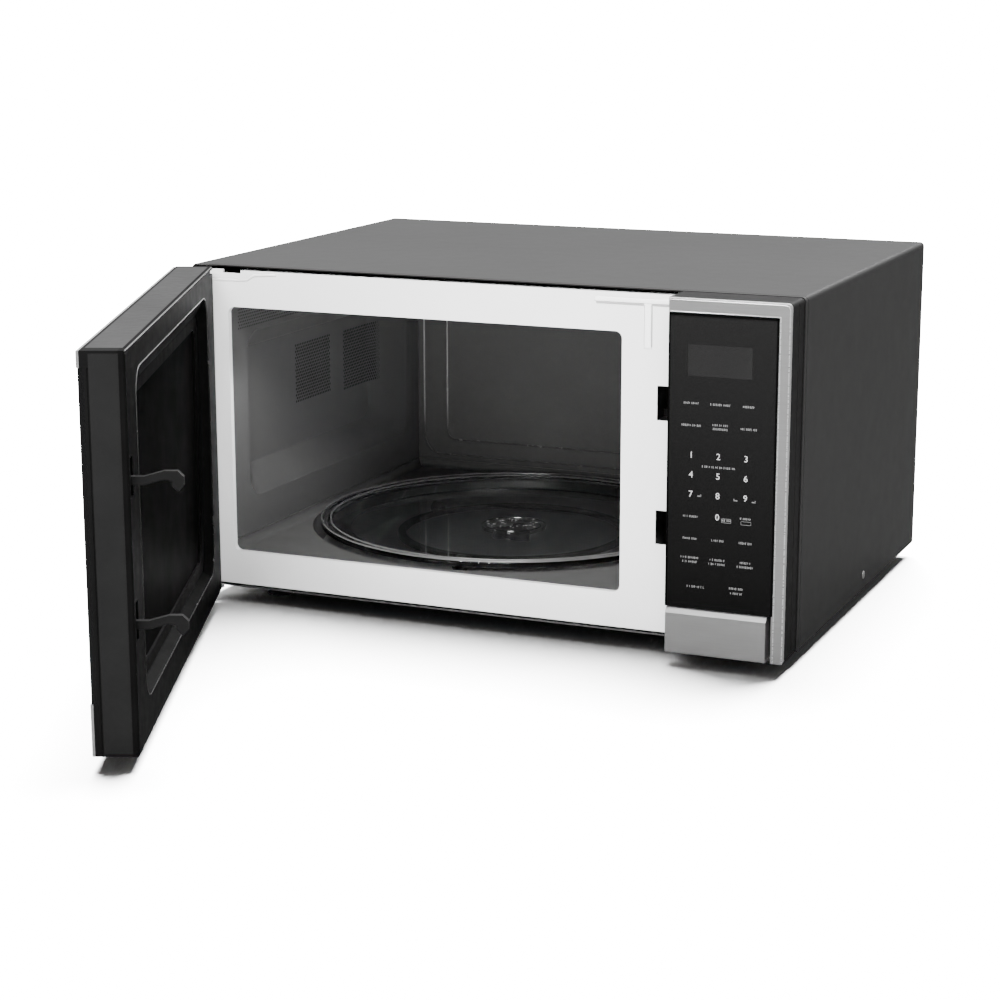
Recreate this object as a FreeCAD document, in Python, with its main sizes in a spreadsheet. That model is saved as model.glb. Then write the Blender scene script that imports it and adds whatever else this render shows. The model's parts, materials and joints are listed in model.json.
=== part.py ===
import FreeCAD, Part
import math
import os
import Sketcher

# Countertop microwave oven, 1.6 cubic foot class, with its door standing open.
# Millimetres, +Z up, +Y to the back.  The origin is on the counter, under the middle
# of the closed oven.  Every cabinet piece is drawn in cabinet coordinates: x from the
# left side, y from the front plate towards the back, z from the bottom of the sides.
# Every door piece is drawn closed, in coordinates whose origin is the hinge axis.

DIMENSIONS = {
    # whole cabinet
    "case_width": 552, "case_depth": 398, "case_height": 288,
    "foot_height": 13, "front_depth": 35.2, "cover_sheet": 1, "cover_bend": 4,
    "hem_place": 5.6, "hem_width": 0.9, "hem_groove": 0.4, "shell_gap": 0.2,
    "side_screw_y": 210, "side_screw_z": 13, "screw_head": 3.6,
    "screw_head_height": 1.6,
    # base and rear
    "base_flange": 12, "base_flange_start": 14, "rear_place": 395, "rear_sheet": 1,
    "vent_width": 4, "vent_height": 34, "vent_pitch": 8, "fan_vent_left": 440,
    "fan_vent_low": 116, "fan_vent_row": 42, "exhaust_left": 40, "exhaust_low": 190,
    "exhaust_row": 40, "base_vent_left": 436, "base_vent_front": 56,
    "gland_x": 512, "gland_z": 42, "gland_radius": 8, "gland_flange": 12,
    "gland_bore": 3.6, "gland_length": 10, "foot_radius": 12, "foot_top_radius": 14,
    "foot_side": 58, "foot_front": 42, "foot_back": 352,
    # front plate
    "plate_sheet": 1.2, "plate_side": 1.5, "plate_bottom": 3, "plate_top": 284,
    "plate_right": 549, "plate_rim": 12, "opening_left": 34.7, "opening_right": 399.3,
    "opening_low": 33.5, "opening_high": 252, "opening_corner": 6, "opening_lip": 5,
    "bay_left": 462, "bay_right": 541, "bay_low": 8, "bay_high": 268,
    "slot_left": 430, "slot_right": 447, "slot_height": 28.5, "hook_low": 92.1,
    "hook_high": 195.4, "relief": 0.8, "tee_left": 375, "tee_right": 448, "tee_low": 275.8,
    "tee_high": 280, "tee_stem_left": 418, "tee_stem_right": 425, "tee_stem_low": 239,
    "notch_right": 48, "notch_low": 281.4,
    # cavity
    "cavity_left": 32, "cavity_right": 408, "cavity_back": 392, "cavity_floor": 33.5,
    "cavity_roof": 255, "cavity_sheet": 1, "floor_turn_up": 8, "floor_bend": 6.8,
    "pan_front": 35, "pan_back": 366, "pan_low": 72, "pan_high": 225, "pan_depth": 10,
    "pan_corner": 14, "pan_round": 20, "pan_slope_top": 17, "pan_slope_low": 30, "pan_slope_back": 72,
    "pan_slope_front": 5, "back_frame_side": 7, "back_frame_low": 47, "back_frame_high": 243,
    "back_frame_corner": 20, "back_panel_inset": 27, "back_panel_low": 64,
    "back_panel_high": 226, "back_panel_corner": 9, "back_relief": 2.4,
    "port_front": 158, "port_back": 250, "port_low": 120, "port_high": 190,
    "lamp_y": 320, "lamp_z": 222, "lamp_window": 10,
    # turntable
    "tray_x": 220, "tray_y": 199, "well_radius": 188, "well_foot_radius": 181,
    "well_floor": 13, "shaft_hole": 8, "tray_radius": 180, "tray_top": 40,
    "tray_base": 26.6, "tray_glass": 4.6, "tray_rim_inner": 169, "tray_flat": 152,
    "tray_lip": 4.2, "tray_hub": 26, "tray_hub_wall": 4, "tray_hub_depth": 3,
    "coupler_radius": 20, "coupler_lobe": 7, "coupler_core": 9, "coupler_low": 14.5,
    "coupler_height": 8.6, "shaft_radius": 3.4, "shaft_clearance": 0.08,
    "shaft_low": 4, "shaft_top": 22.5, "ring_radius": 108, "ring_width": 7,
    "ring_thick": 4, "wheel_radius": 6.5, "wheel_width": 6, "wheel_radius_place": 120,
    "axle_radius": 1.5, "axle_clearance": 0.1, "wheel_gap": 0.3,
    "motor_radius": 24.5, "motor_low": -3, "motor_top": 11.7, "motor_ear": 32,
    "motor_hole": 34, "access_depth": 5,
    # hinges, from the cabinet's left front corner
    "hinge_inset": 7.2, "hinge_x": 8.3, "hinge_depth": 22.4, "hinge_half_width": 6.5,
    "pin_radius": 2.5, "pin_clearance": 0.1, "lug_sheet": 2.4, "upper_lug": 281.8,
    "lower_lug": -6, "lug_flange_right": 30, "lug_flange_drop": 27, "lug_tail": 45,
    "pin_reach": 18, "door_open_angle": 67.47,
    # door
    "door_width": 448.4, "door_low": -2, "door_high": 287.5, "door_gap": 1.6,
    "door_wall": 3, "trim_thick": 2.2, "trim_top": 12, "trim_side": 11, "trim_low": 38.6,
    "trim_corner": 4, "glass_thick": 4, "glass_step": 1.2, "cover_lip": 4.8,
    "edge_inset": 0.7, "edge_chamfer": 1.4, "band_inset": 5, "window_left": 60,
    "window_right": 374, "window_low": 42, "window_high": 243, "window_step": 8,
    "recess_left": 42, "recess_right": 396, "recess_low": 31, "recess_high": 253,
    "recess_slope": 7.6, "recess_slope_top": 15.5, "recess_slope_low": 5, "recess_corner": 13,
    "window_corner": 9, "door_core": 3.4,
    "relay_side": 6, "relay_pitch": 24, "relay_width": 18, "relay_low": 10, "relay_height": 24,
    "relay_out": 14, "supply_left": 20, "supply_width": 34, "supply_low": 60, "supply_height": 32,
    "supply_out": 15, "chip_half": 14, "chip_low": 120, "chip_height": 14, "chip_out": 4,
    "sounder_side": 22, "sounder_up": 170, "sounder_out": 9, "channel_side": 1,
    "latch_web": 6, "latch_wall": 4, "lever_end_gap": 4, "core_limb": 14, "core_margin": 4,
    "coil_foot": 15, "coil_spacing": 5, "shroud_bar": 6, "choke_x": 28, "choke_y": 34,
    "choke_height": 16, "fuse_x": 54, "fuse_y": 20, "fuse_up": 5, "fuse_radius": 3.4,
    "fuse_length": 30, "fuse_rest": 4, "holder_end": 8, "lamp_room": 1.5, "flange_thick": 2,
    "rear_screw_side": 12, "rear_screw_high": 272, "rear_screw_low": 14,
    "middle_screw_high": 277, "middle_screw_low": 10, "side_screw_sunk": 0.6,
    "fan_blades": 5,
    "screen_sheet": 0.8, "choke_left": 12, "choke_inset": 16, "choke_depth": 9,
    "film_thick": 1, "lug_room": 0.8, "hinge_room": 7.6, "hinge_front_room": 9.6,
    "boss_depth": 26,
    # latch hooks and their spring, in the door
    "hook_x": 428, "hook_wide": 5, "hook_bar_left": 422, "hook_bar_right": 437,
    "hook_bar_front": 6.4, "hook_bar_back": 9.4, "hook_bar_low": 66, "hook_bar_high": 222,
    "hook_reach": 57, "hook_arm": 6, "hook_rise": 4, "hook_tip": 8.4, "hook_drop": 14.5,
    "hook_slot_room": 4.6, "spring_radius": 2.6, "spring_wire": 0.5, "spring_pitch": 3.2,
    "spring_length": 19.2,
    # control panel
    "panel_left": 451, "panel_right": 551.2, "panel_low": -2, "panel_high": 287.5,
    "bezel_wall": 2.6, "panel_trim_side": 11.2, "panel_trim_top": 11.8, "overlay_low": 37,
    "overlay_step": 1.2, "overlay_thick": 2.2,
    "display_left": 467, "display_right": 520, "display_low": 225.8, "display_high": 251.3,
    "button_left": 451.4, "button_right": 535.8, "button_high": 36, "button_bevel": 4.6,
    "button_wall": 2.4, "button_depth": 13, "stem_left": 488, "stem_right": 498,
    "stem_low": 10, "stem_high": 20, "stem_back": 8, "shelf_front": -15, "shelf_thick": 2,
    "board_left": 457, "board_right": 537, "board_low": 48, "board_high": 270,
    "board_front": -18, "board_thick": 1.6, "bezel_line": 15, "bezel_line_width": 0.8,
    "module_margin": 4, "module_front": -27.6, "module_back": -20,
    # latch board, lever and switches, behind the front plate
    "latch_left": 424, "latch_right": 452, "latch_front": 1.4, "latch_back": 44,
    "latch_low": 52, "latch_high": 228, "ledge_front": 20, "ledge_back": 26,
    "lever_y": 12, "lever_z": 60, "lever_axle": 2.5, "lever_end": 500, "lever_arm_left": 486,
    "lever_arm_thick": 5, "lever_arm_drop": 50, "lever_lift_reach": 20,
    "switch_thick": 10.2, "switch_depth": 16, "switch_height": 20, "switch_gap": 1.4,
    "plunger_size": 3, "plunger_out": 3, "plunger_room": 0.2,
    # microwave generator, supply and cooling, in the bay behind the control panel
    "guide_depth": 30, "guide_front": 130, "guide_back": 262, "guide_low": 108,
    "guide_high": 226, "guide_sheet": 1.2, "tube_left": 441, "tube_size": 78,
    "tube_front": 158, "tube_low": 142, "tube_high": 214, "yoke_sheet": 3,
    "fin_sheet": 0.8, "fin_pitch": 7, "fin_margin": 9, "anode_radius": 19, "antenna_radius": 7,
    "antenna_reach": 18, "filter_depth": 16, "filter_margin": 12,
    "core_left": 446, "core_front": 150, "core_width": 86, "core_depth": 66,
    "core_height": 80, "core_window": 20, "coil_overhang": 16, 
    "coil_height": 17, "can_x": 458, "can_y": 306, "can_length": 50, "can_width": 32,
    "can_height": 96, "strap_height": 12, "strap_sheet": 1.2, "diode_length": 26,
    "diode_radius": 3.4, "shroud_left": 430, "shroud_size": 112, "shroud_low": 108,
    "shroud_front": 372, "shroud_back": 394, "blade_radius": 47, "shroud_hole": 50,
    "blade_hub": 13, "blade_thick": 2, "blade_lean": 6, "blade_start": 5.5, "fan_motor_depth": 30,
    "fan_motor_size": 44, "fan_shaft_radius": 2.5, "duct_right": 520, "duct_front": 60,
    "duct_low": 145, "duct_high": 211, "duct_wall": 2, "filter_board_left": 424,
    "filter_board_front": 292, "filter_board_width": 92, "filter_board_depth": 74,
    "filter_board_z": 248, "lamp_radius": 9, "lamp_length": 22, "holder_size": 26,
    "cutout_radius": 8, "cutout_height": 6,
}

V = FreeCAD.Vector
doc = FreeCAD.newDocument("microwave_oven")
sheet = doc.addObject("Spreadsheet::Sheet", "dims")
NODES = []
CUTS = []


class Size:
    """A number with the spreadsheet expression that it comes from."""

    def __init__(self, value, text):
        self.value = float(value)
        self.text = text

    def joined(self, sign, other, value):
        return Size(value, f"({self.text} {sign} {other.text})")

    def __add__(self, other):
        other = as_size(other)
        return self.joined("+", other, self.value + other.value)

    def __sub__(self, other):
        other = as_size(other)
        return self.joined("-", other, self.value - other.value)

    def __mul__(self, other):
        other = as_size(other)
        return self.joined("*", other, self.value * other.value)

    def __truediv__(self, other):
        other = as_size(other)
        return self.joined("/", other, self.value / other.value)

    def __neg__(self):
        return Size(-self.value, f"(-{self.text})")

    def __radd__(self, other):
        return as_size(other) + self

    def __rsub__(self, other):
        return as_size(other) - self

    def __rmul__(self, other):
        return as_size(other) * self


def as_size(number):
    """A plain number as a size."""
    return number if isinstance(number, Size) else Size(number, f"({float(number)!r})")


class Sizes:
    """The driving dimensions, one attribute each."""


d = Sizes()
for row, (alias, number) in enumerate(DIMENSIONS.items(), start=1):
    sheet.set(f"A{row}", alias)
    sheet.set(f"B{row}", str(number))
    sheet.setAlias(f"B{row}", alias)
    setattr(d, alias, Size(number, f"dims.{alias}"))
doc.recompute()

# The cabinet's left front bottom corner and the hinge axis, in the oven's own frame.
CORNER = (-d.case_width / 2, (d.front_depth - d.case_depth) / 2, d.foot_height)
HINGE = (CORNER[0] + d.hinge_x, CORNER[1] - d.hinge_depth, CORNER[2])

# The door's faces, from the hinge axis.
DOOR_LEFT = -d.hinge_inset
DOOR_RIGHT = d.door_width - d.hinge_inset
DOOR_FRONT = d.hinge_depth - d.front_depth
DOOR_SKIN = DOOR_FRONT + d.trim_thick
DOOR_BACK = d.hinge_depth - d.door_gap


# ---- drawing helpers ---------------------------------------------------------------


def bind(thing, path, size):
    """Tie one property to the spreadsheet."""
    thing.setExpression(path, as_size(size).text)


def put(thing, origin, at=(0, 0, 0)):
    """Place a piece at a point given from an origin."""
    for letter, base, offset in zip("xyz", origin, at):
        bind(thing, f"Placement.Base.{letter}", base + offset)


def node(piece, label=None):
    """Register a finished sub-part under the name of its file."""
    if label:
        piece.Label = label
    NODES.append(piece)
    return piece


def body(label, origin=CORNER, at=(0, 0, 0)):
    """A new sub-part body; door bodies are turned to where the door stands open."""
    piece = doc.addObject("PartDesign::Body", label)
    piece.Label = label
    put(piece, origin, at)
    if origin is HINGE:
        bind(piece, "Placement.Rotation.Angle", -d.door_open_angle)
    return node(piece)


def hold(sketch, line, point, place):
    """Fix one end of a line at a point measured from the sketch's origin."""
    for kind, size in zip(("DistanceX", "DistanceY"), place):
        index = sketch.addConstraint(
            Sketcher.Constraint(kind, -1, 1, line, point, size.value))
        bind(sketch, f"Constraints[{index}]", size)


def polygon(points):
    """A closed outline through the given points."""
    places = [(as_size(x), as_size(y)) for x, y in points]

    def draw(sketch):
        first = sketch.GeometryCount
        ends = [V(x.value, y.value, 0) for x, y in places]
        lines = [Part.LineSegment(a, b) for a, b in zip(ends, ends[1:] + ends[:1])]
        sketch.addGeometry(lines, False)
        count = len(lines)
        sketch.addConstraint([
            Sketcher.Constraint("Coincident", first + i, 2, first + (i + 1) % count, 1)
            for i in range(count)])
        for i, place in enumerate(places):
            hold(sketch, first + i, 1, place)

    return draw


def rectangle(left, low, right, high):
    """A rectangle given by its four sides."""
    return polygon([(left, low), (right, low), (right, high), (left, high)])


def circle(x, y, radius):
    """A circle given by its centre."""
    centre = (as_size(x), as_size(y))
    radius = as_size(radius)

    def draw(sketch):
        middle = V(centre[0].value, centre[1].value, 0)
        ring = sketch.addGeometry(Part.Circle(middle, V(0, 0, 1), radius.value), False)
        index = sketch.addConstraint(Sketcher.Constraint("Radius", ring, radius.value))
        bind(sketch, f"Constraints[{index}]", radius)
        hold(sketch, ring, 3, centre)

    return draw


def rounded(left, low, right, high, radius):
    """A rectangle whose corners are arcs of one radius."""
    left, low, right, high, radius = map(as_size, (left, low, right, high, radius))
    x0, y0, x1, y1 = left.value, low.value, right.value, high.value
    r = radius.value

    def draw(sketch):
        sides = [((x0 + r, y0), (x1 - r, y0)), ((x1, y0 + r), (x1, y1 - r)),
                 ((x1 - r, y1), (x0 + r, y1)), ((x0, y1 - r), (x0, y0 + r))]
        middles = [(x1 - r, y0 + r), (x1 - r, y1 - r), (x0 + r, y1 - r), (x0 + r, y0 + r)]
        first = sketch.GeometryCount
        for quarter, ((a, b), middle) in enumerate(zip(sides, middles)):
            start = (quarter - 1) * math.pi / 2
            whole = Part.Circle(V(*middle, 0), V(0, 0, 1), r)
            sketch.addGeometry([Part.LineSegment(V(*a, 0), V(*b, 0)),
                                Part.ArcOfCircle(whole, start, start + math.pi / 2)], False)
        rules = []
        for quarter in range(4):
            line, arc = first + 2 * quarter, first + 2 * quarter + 1
            after = first + (2 * quarter + 2) % 8
            rules += [Sketcher.Constraint("Tangent", line, 2, arc, 1),
                      Sketcher.Constraint("Tangent", arc, 2, after, 1),
                      Sketcher.Constraint("Vertical" if quarter % 2 else "Horizontal", line)]
            if quarter:
                rules.append(Sketcher.Constraint("Equal", first + 1, arc))
        sketch.addConstraint(rules)
        index = sketch.addConstraint(Sketcher.Constraint("Radius", first + 1, r))
        bind(sketch, f"Constraints[{index}]", radius)
        for kind, line, size in (("DistanceY", 0, low), ("DistanceX", 2, right),
                                 ("DistanceY", 4, high), ("DistanceX", 6, left)):
            index = sketch.addConstraint(
                Sketcher.Constraint(kind, -1, 1, first + line, 1, size.value))
            bind(sketch, f"Constraints[{index}]", size)

    return draw


def add_sketch(piece, plane, height, outlines):
    """A sketch parallel to one of the body's own origin planes."""
    sketch = piece.newObject("Sketcher::SketchObject", f"{piece.Name}_sketch")
    base = next(f for f in piece.Origin.OriginFeatures if f.Role == f"{plane}_Plane")
    sketch.AttachmentSupport = [(base, "")]
    sketch.MapMode = "FlatFace"
    height = as_size(height)
    bind(sketch, "AttachmentOffset.Base.z", -height if plane == "XZ" else height)
    for draw in outlines:
        draw(sketch)
    return sketch


def extrude(piece, plane, low, high, *outlines):
    """Add material between two heights along the plane's axis."""
    sketch = add_sketch(piece, plane, high if plane == "XZ" else low, outlines)
    pad = piece.newObject("PartDesign::Pad", f"{piece.Name}_pad")
    pad.Profile = sketch
    bind(pad, "Length", high - low)
    sketch.Visibility = False
    return pad


def cut(piece, plane, low, high, *outlines):
    """Take material away between two heights along the plane's axis."""
    base = piece.Tip
    sketch = add_sketch(piece, plane, low if plane == "XZ" else high, outlines)
    pocket = piece.newObject("PartDesign::Pocket", f"{piece.Name}_pocket")
    pocket.Profile = sketch
    bind(pocket, "Length", high - low)
    CUTS.append((pocket, base))
    return pocket


def taper(piece, kind, plane, *sections):
    """Add or take away a block that changes evenly between two outlines."""
    base = piece.Tip
    sketches = [add_sketch(piece, plane, place, [outline]) for place, outline in sections]
    feature = piece.newObject(f"PartDesign::{kind}Loft", f"{piece.Name}_loft")
    feature.Profile = sketches[0]
    feature.Sections = sketches[1:]
    feature.Ruled = True
    if kind == "Subtractive":
        CUTS.append((feature, base))
    return feature


def repeat(piece, feature, axis, length, count):
    """Repeat a feature in a row along its sketch's H or V axis."""
    row_of = piece.newObject("PartDesign::LinearPattern", f"{piece.Name}_row")
    row_of.Originals = [feature]
    row_of.Direction = (feature.Profile[0], [f"{axis}_Axis"])
    bind(row_of, "Length", length)
    row_of.Occurrences = count
    piece.Tip = row_of
    return row_of


def turn(piece, outline):
    """Turn an outline drawn as radius and height about the body's upright axis."""
    sketch = add_sketch(piece, "XZ", 0, [outline])
    feature = piece.newObject("PartDesign::Revolution", f"{piece.Name}_turned")
    feature.Profile = sketch
    feature.ReferenceAxis = (sketch, ["V_Axis"])
    feature.Angle = 360
    return feature


def lies(edge, **places):
    """Whether an edge lies wholly at the given coordinates."""
    box = edge.BoundBox
    reach = {"x": (box.XMin, box.XMax), "y": (box.YMin, box.YMax), "z": (box.ZMin, box.ZMax)}
    return all(abs(end - as_size(place).value) < 0.02
               for letter, place in places.items() for end in reach[letter])


def ease(piece, kind, size, *choices):
    """Round or chamfer the edges that lie at any of the given sets of coordinates."""
    doc.recompute()
    base = piece.Tip
    names = [f"Edge{index}" for index, edge in enumerate(base.Shape.Edges, start=1)
             if any(lies(edge, **places) for places in choices)]
    feature = piece.newObject(f"PartDesign::{kind}", f"{piece.Name}_{kind.lower()}")
    feature.Base = (base, names)
    bind(feature, "Radius" if kind == "Fillet" else "Size", size)
    return feature


def block(name, left, right, front, back, low, high):
    """A plain block in cabinet coordinates."""
    piece = doc.addObject("Part::Box", name)
    for path, size in (("Length", right - left), ("Width", back - front), ("Height", high - low)):
        bind(piece, path, size)
    put(piece, CORNER, (left, front, low))
    return piece


def rod(name, axis, place, radius, length):
    """A round bar that starts at a place in cabinet coordinates and runs along an axis."""
    piece = doc.addObject("Part::Cylinder", name)
    turned = {"X": FreeCAD.Rotation(V(0, 1, 0), 90), "Y": FreeCAD.Rotation(V(1, 0, 0), -90),
              "Z": FreeCAD.Rotation()}[axis]
    piece.Placement = FreeCAD.Placement(V(0, 0, 0), turned)
    bind(piece, "Radius", radius)
    bind(piece, "Height", length)
    put(piece, CORNER, place)
    return piece


def join(name, *pieces):
    """Several pieces fused into one."""
    whole = doc.addObject("Part::MultiFuse", name)
    whole.Shapes = list(pieces)
    return whole


def carve(name, base, *tools):
    """A piece with other pieces taken out of it."""
    whole = doc.addObject("Part::Cut", name)
    whole.Base = base
    whole.Tool = tools[0] if len(tools) == 1 else join(f"{name}_tools", *tools)
    return whole


def group(name, *pieces):
    """Separate solids that share one node."""
    whole = doc.addObject("Part::Compound", name)
    whole.Links = list(pieces)
    return whole


# ---- cabinet shells ----------------------------------------------------------------


def make_outer_cover():
    """Painted wrap over the top and both sides, with a hem line round its front."""
    piece = body("outer_cover")
    wall, width, height = d.cover_sheet, d.case_width, d.case_height
    extrude(piece, "XZ", 0, d.case_depth, polygon([
        (0, 0), (wall, 0), (wall, height - wall), (width - wall, height - wall),
        (width - wall, 0), (width, 0), (width, height), (0, height)]))
    ease(piece, "Fillet", d.cover_bend, {"x": 0, "z": height}, {"x": width, "z": height})
    ease(piece, "Fillet", d.cover_bend - wall, {"x": wall, "z": height - wall},
         {"x": width - wall, "z": height - wall})
    inset = d.hem_groove
    cut(piece, "XZ", d.hem_place, d.hem_place + d.hem_width,
        rectangle(-wall, -height, width + wall, height + wall),
        rounded(inset, -height / 2, width - inset, height - inset, d.cover_bend - inset))


def make_base_plate():
    """Base sheet with side flanges, air slots and a round bulge under the motor."""
    piece = body("base_plate", at=(d.tray_x, d.tray_y, 0))
    wall, gap = d.cover_sheet, d.cover_sheet + d.shell_gap
    left, right = gap - d.tray_x, d.case_width - gap - d.tray_x
    front, back = d.plate_side - d.tray_y, d.rear_place - d.shell_gap - d.tray_y
    extrude(piece, "XY", 0, wall, rectangle(left, front, right, back))
    for side in (left, right - wall):
        extrude(piece, "XY", 0, d.base_flange, rectangle(
            side, d.base_flange_start - d.tray_y, side + wall, back))
    hole, low = d.motor_hole, -d.access_depth
    cut(piece, "XY", 0, wall, circle(0, 0, hole - wall))
    turn(piece, polygon([(0, low), (hole, low), (hole, 0), (hole, wall), (hole - wall, wall),
                         (hole - wall, low + wall), (0, low + wall)]))
    side, foot = d.base_vent_left - d.tray_x, d.base_vent_front - d.tray_y
    slot = cut(piece, "XY", 0, wall,
               rectangle(side, foot, side + d.vent_width, foot + d.vent_height))
    repeat(piece, slot, "H", d.vent_pitch * 11, 12)


def make_rear_panel():
    """Rear sheet with the fan's air slots, exhaust slots and the hole for the gland."""
    piece = body("rear_panel")
    left = d.cover_sheet + d.shell_gap
    back = d.rear_place + d.rear_sheet
    right, high = d.case_width - left, d.case_height - left
    extrude(piece, "XZ", d.rear_place, back, rectangle(left, left, right, high))
    ease(piece, "Fillet", d.cover_bend, {"x": left, "z": high}, {"x": right, "z": high})
    cut(piece, "XZ", d.rear_place, back, circle(d.gland_x, d.gland_z, d.gland_radius))
    for side, low, row_step in ((d.fan_vent_left, d.fan_vent_low, d.fan_vent_row),
                                (d.exhaust_left, d.exhaust_low, d.exhaust_row)):
        slots = [rectangle(side, foot, side + d.vent_width, foot + d.vent_height)
                 for foot in (low, low + row_step)]
        slot = cut(piece, "XZ", d.rear_place, back, *slots)
        repeat(piece, slot, "H", d.vent_pitch * 10, 11)


def make_front_plate():
    """White front plate with the cavity's opening, latch slots and pressed ridges."""
    piece = body("front_plate")
    left, right, low, high = d.plate_side, d.plate_right, d.plate_bottom, d.plate_top
    sheet_depth, bend = d.plate_sheet, d.plate_sheet
    extrude(piece, "XZ", 0, d.plate_rim, rectangle(left, low, right, high))
    cut(piece, "XZ", sheet_depth, d.plate_rim,
        rectangle(left + bend, low + bend, right - bend, high - bend))
    ease(piece, "Fillet", bend * 0.8, {"y": 0})
    sides = (d.opening_left, d.opening_low, d.opening_right, d.opening_high)
    extrude(piece, "XZ", 0, d.opening_lip, rounded(
        sides[0] - bend, sides[1] - bend, sides[2] + bend, sides[3] + bend, d.opening_corner + bend))
    cut(piece, "XZ", 0, d.opening_lip, rounded(*sides, d.opening_corner))
    cut(piece, "XZ", 0, sheet_depth, rectangle(d.bay_left, d.bay_low, d.bay_right, d.bay_high))
    half = d.slot_height / 2
    for middle in (d.hook_low, d.hook_high):
        cut(piece, "XZ", 0, sheet_depth,
            rectangle(d.slot_left, middle - half, d.slot_right, middle + half))
    cut(piece, "XZ", 0, d.plate_rim, rectangle(0, d.notch_low, d.notch_right, high + bend))
    extrude(piece, "XZ", -d.relief, 0,
            rectangle(d.tee_left, d.tee_low, d.tee_right, d.tee_high))
    extrude(piece, "XZ", -d.relief, 0, rectangle(
        d.tee_stem_left, d.tee_stem_low, d.tee_stem_right, d.tee_low))
    ease(piece, "Fillet", d.relief * 0.9, {"y": -d.relief})


# ---- cavity ------------------------------------------------------------------------


def make_cavity_floor():
    """Floor pan: turned-up edges, a round well for the turntable and the shaft hole."""
    piece = body("cavity_floor", at=(d.tray_x, d.tray_y, 0))
    wall, top, foot = d.cavity_sheet, d.cavity_floor, d.well_floor
    rim, bend = d.cavity_floor + d.floor_turn_up, d.floor_bend
    left, right = d.cavity_left - d.tray_x, d.cavity_right - d.tray_x
    front, back = d.opening_lip + d.shell_gap - d.tray_y, d.cavity_back - d.tray_y
    extrude(piece, "XY", top - wall, rim, rectangle(left, front, right, back))
    cut(piece, "XY", top, rim, rectangle(left + wall, front - wall, right - wall, back - wall))
    ease(piece, "Fillet", bend, {"x": left + wall, "z": top}, {"x": right - wall, "z": top},
         {"y": back - wall, "z": top})
    cut(piece, "XY", top - wall, top, circle(0, 0, d.well_radius - wall))
    turn(piece, polygon([
        (d.shaft_hole, foot - wall), (d.well_foot_radius, foot - wall),
        (d.well_radius, top - wall), (d.well_radius, top), (d.well_radius - wall, top),
        (d.well_foot_radius - wall, foot), (d.shaft_hole, foot)]))


def make_cavity_left_wall():
    """Left wall with a wide pressed recess whose sides slope."""
    piece = body("cavity_left_wall")
    inner, wall = d.cavity_left, d.cavity_sheet
    low = d.cavity_floor + d.floor_turn_up
    front, back = d.plate_sheet + d.shell_gap, d.cavity_back
    extrude(piece, "YZ", inner - wall, inner, rectangle(front, low, back, d.cavity_roof))
    recess = rounded(d.pan_front, d.pan_low, d.pan_back, d.pan_high, d.pan_round)
    mouth = rounded(d.pan_front + wall, d.pan_low + wall, d.pan_back - wall, d.pan_high - wall,
                    d.pan_round)
    pan = rounded(d.pan_front + d.pan_slope_front, d.pan_low + d.pan_slope_low,
                  d.pan_back - d.pan_slope_back, d.pan_high - d.pan_slope_top, d.pan_corner)
    taper(piece, "Additive", "YZ", (inner - wall, recess), (inner - wall - d.pan_depth, pan))
    taper(piece, "Subtractive", "YZ", (inner, mouth), (inner - d.pan_depth, pan))


def make_cavity_right_wall():
    """Right wall with the port that the microwaves enter by and the lamp's window."""
    piece = body("cavity_right_wall")
    inner, wall = d.cavity_right, d.cavity_sheet
    low = d.cavity_floor + d.floor_turn_up
    extrude(piece, "YZ", inner, inner + wall,
            rectangle(d.plate_sheet + d.shell_gap, low, d.cavity_back, d.cavity_roof))
    cut(piece, "YZ", inner, inner + wall,
        rectangle(d.port_front, d.port_low, d.port_back, d.port_high))
    cut(piece, "YZ", inner, inner + wall, circle(d.lamp_y, d.lamp_z, d.lamp_window))


def make_cavity_back_wall():
    """Back wall pressed into a raised frame round a second raised panel."""
    piece = body("cavity_back_wall")
    front, wall = d.cavity_back, d.cavity_sheet
    left, right = d.cavity_left - wall, d.cavity_right + wall
    extrude(piece, "XZ", front, front + wall,
            rectangle(left, d.cavity_floor - wall, right, d.cavity_roof + wall))
    frame_left, frame_right = d.cavity_left + d.back_frame_side, d.cavity_right - d.back_frame_side
    extrude(piece, "XZ", front - d.back_relief, front, rounded(
        frame_left, d.back_frame_low, frame_right, d.back_frame_high, d.back_frame_corner))
    ease(piece, "Fillet", d.back_relief * 0.9, {"y": front - d.back_relief})
    side = d.back_panel_inset
    extrude(piece, "XZ", front - d.back_relief * 2, front - d.back_relief, rounded(
        frame_left + side, d.back_panel_low, frame_right - side, d.back_panel_high,
        d.back_panel_corner))
    ease(piece, "Fillet", d.back_relief * 0.9, {"y": front - d.back_relief * 2})


def make_cavity_roof():
    """Roof of the cavity, with a shallow stiffening panel pressed upwards."""
    piece = body("cavity_roof")
    low, wall = d.cavity_roof, d.cavity_sheet
    extrude(piece, "XY", low, low + wall, rectangle(
        d.cavity_left - wall, d.plate_sheet + d.shell_gap, d.cavity_right + wall, d.cavity_back))
    side = d.cavity_left + d.pan_front
    extrude(piece, "XY", low + wall, low + wall * 3, rounded(
        side, d.pan_front * 2, d.cavity_right - d.pan_front, d.cavity_back - d.pan_front,
        d.pan_corner))
    cut(piece, "XY", low, low + wall * 2, rounded(
        side + wall, d.pan_front * 2 + wall, d.cavity_right - d.pan_front - wall,
        d.cavity_back - d.pan_front - wall, d.pan_corner - wall))


# ---- turntable ---------------------------------------------------------------------


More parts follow.
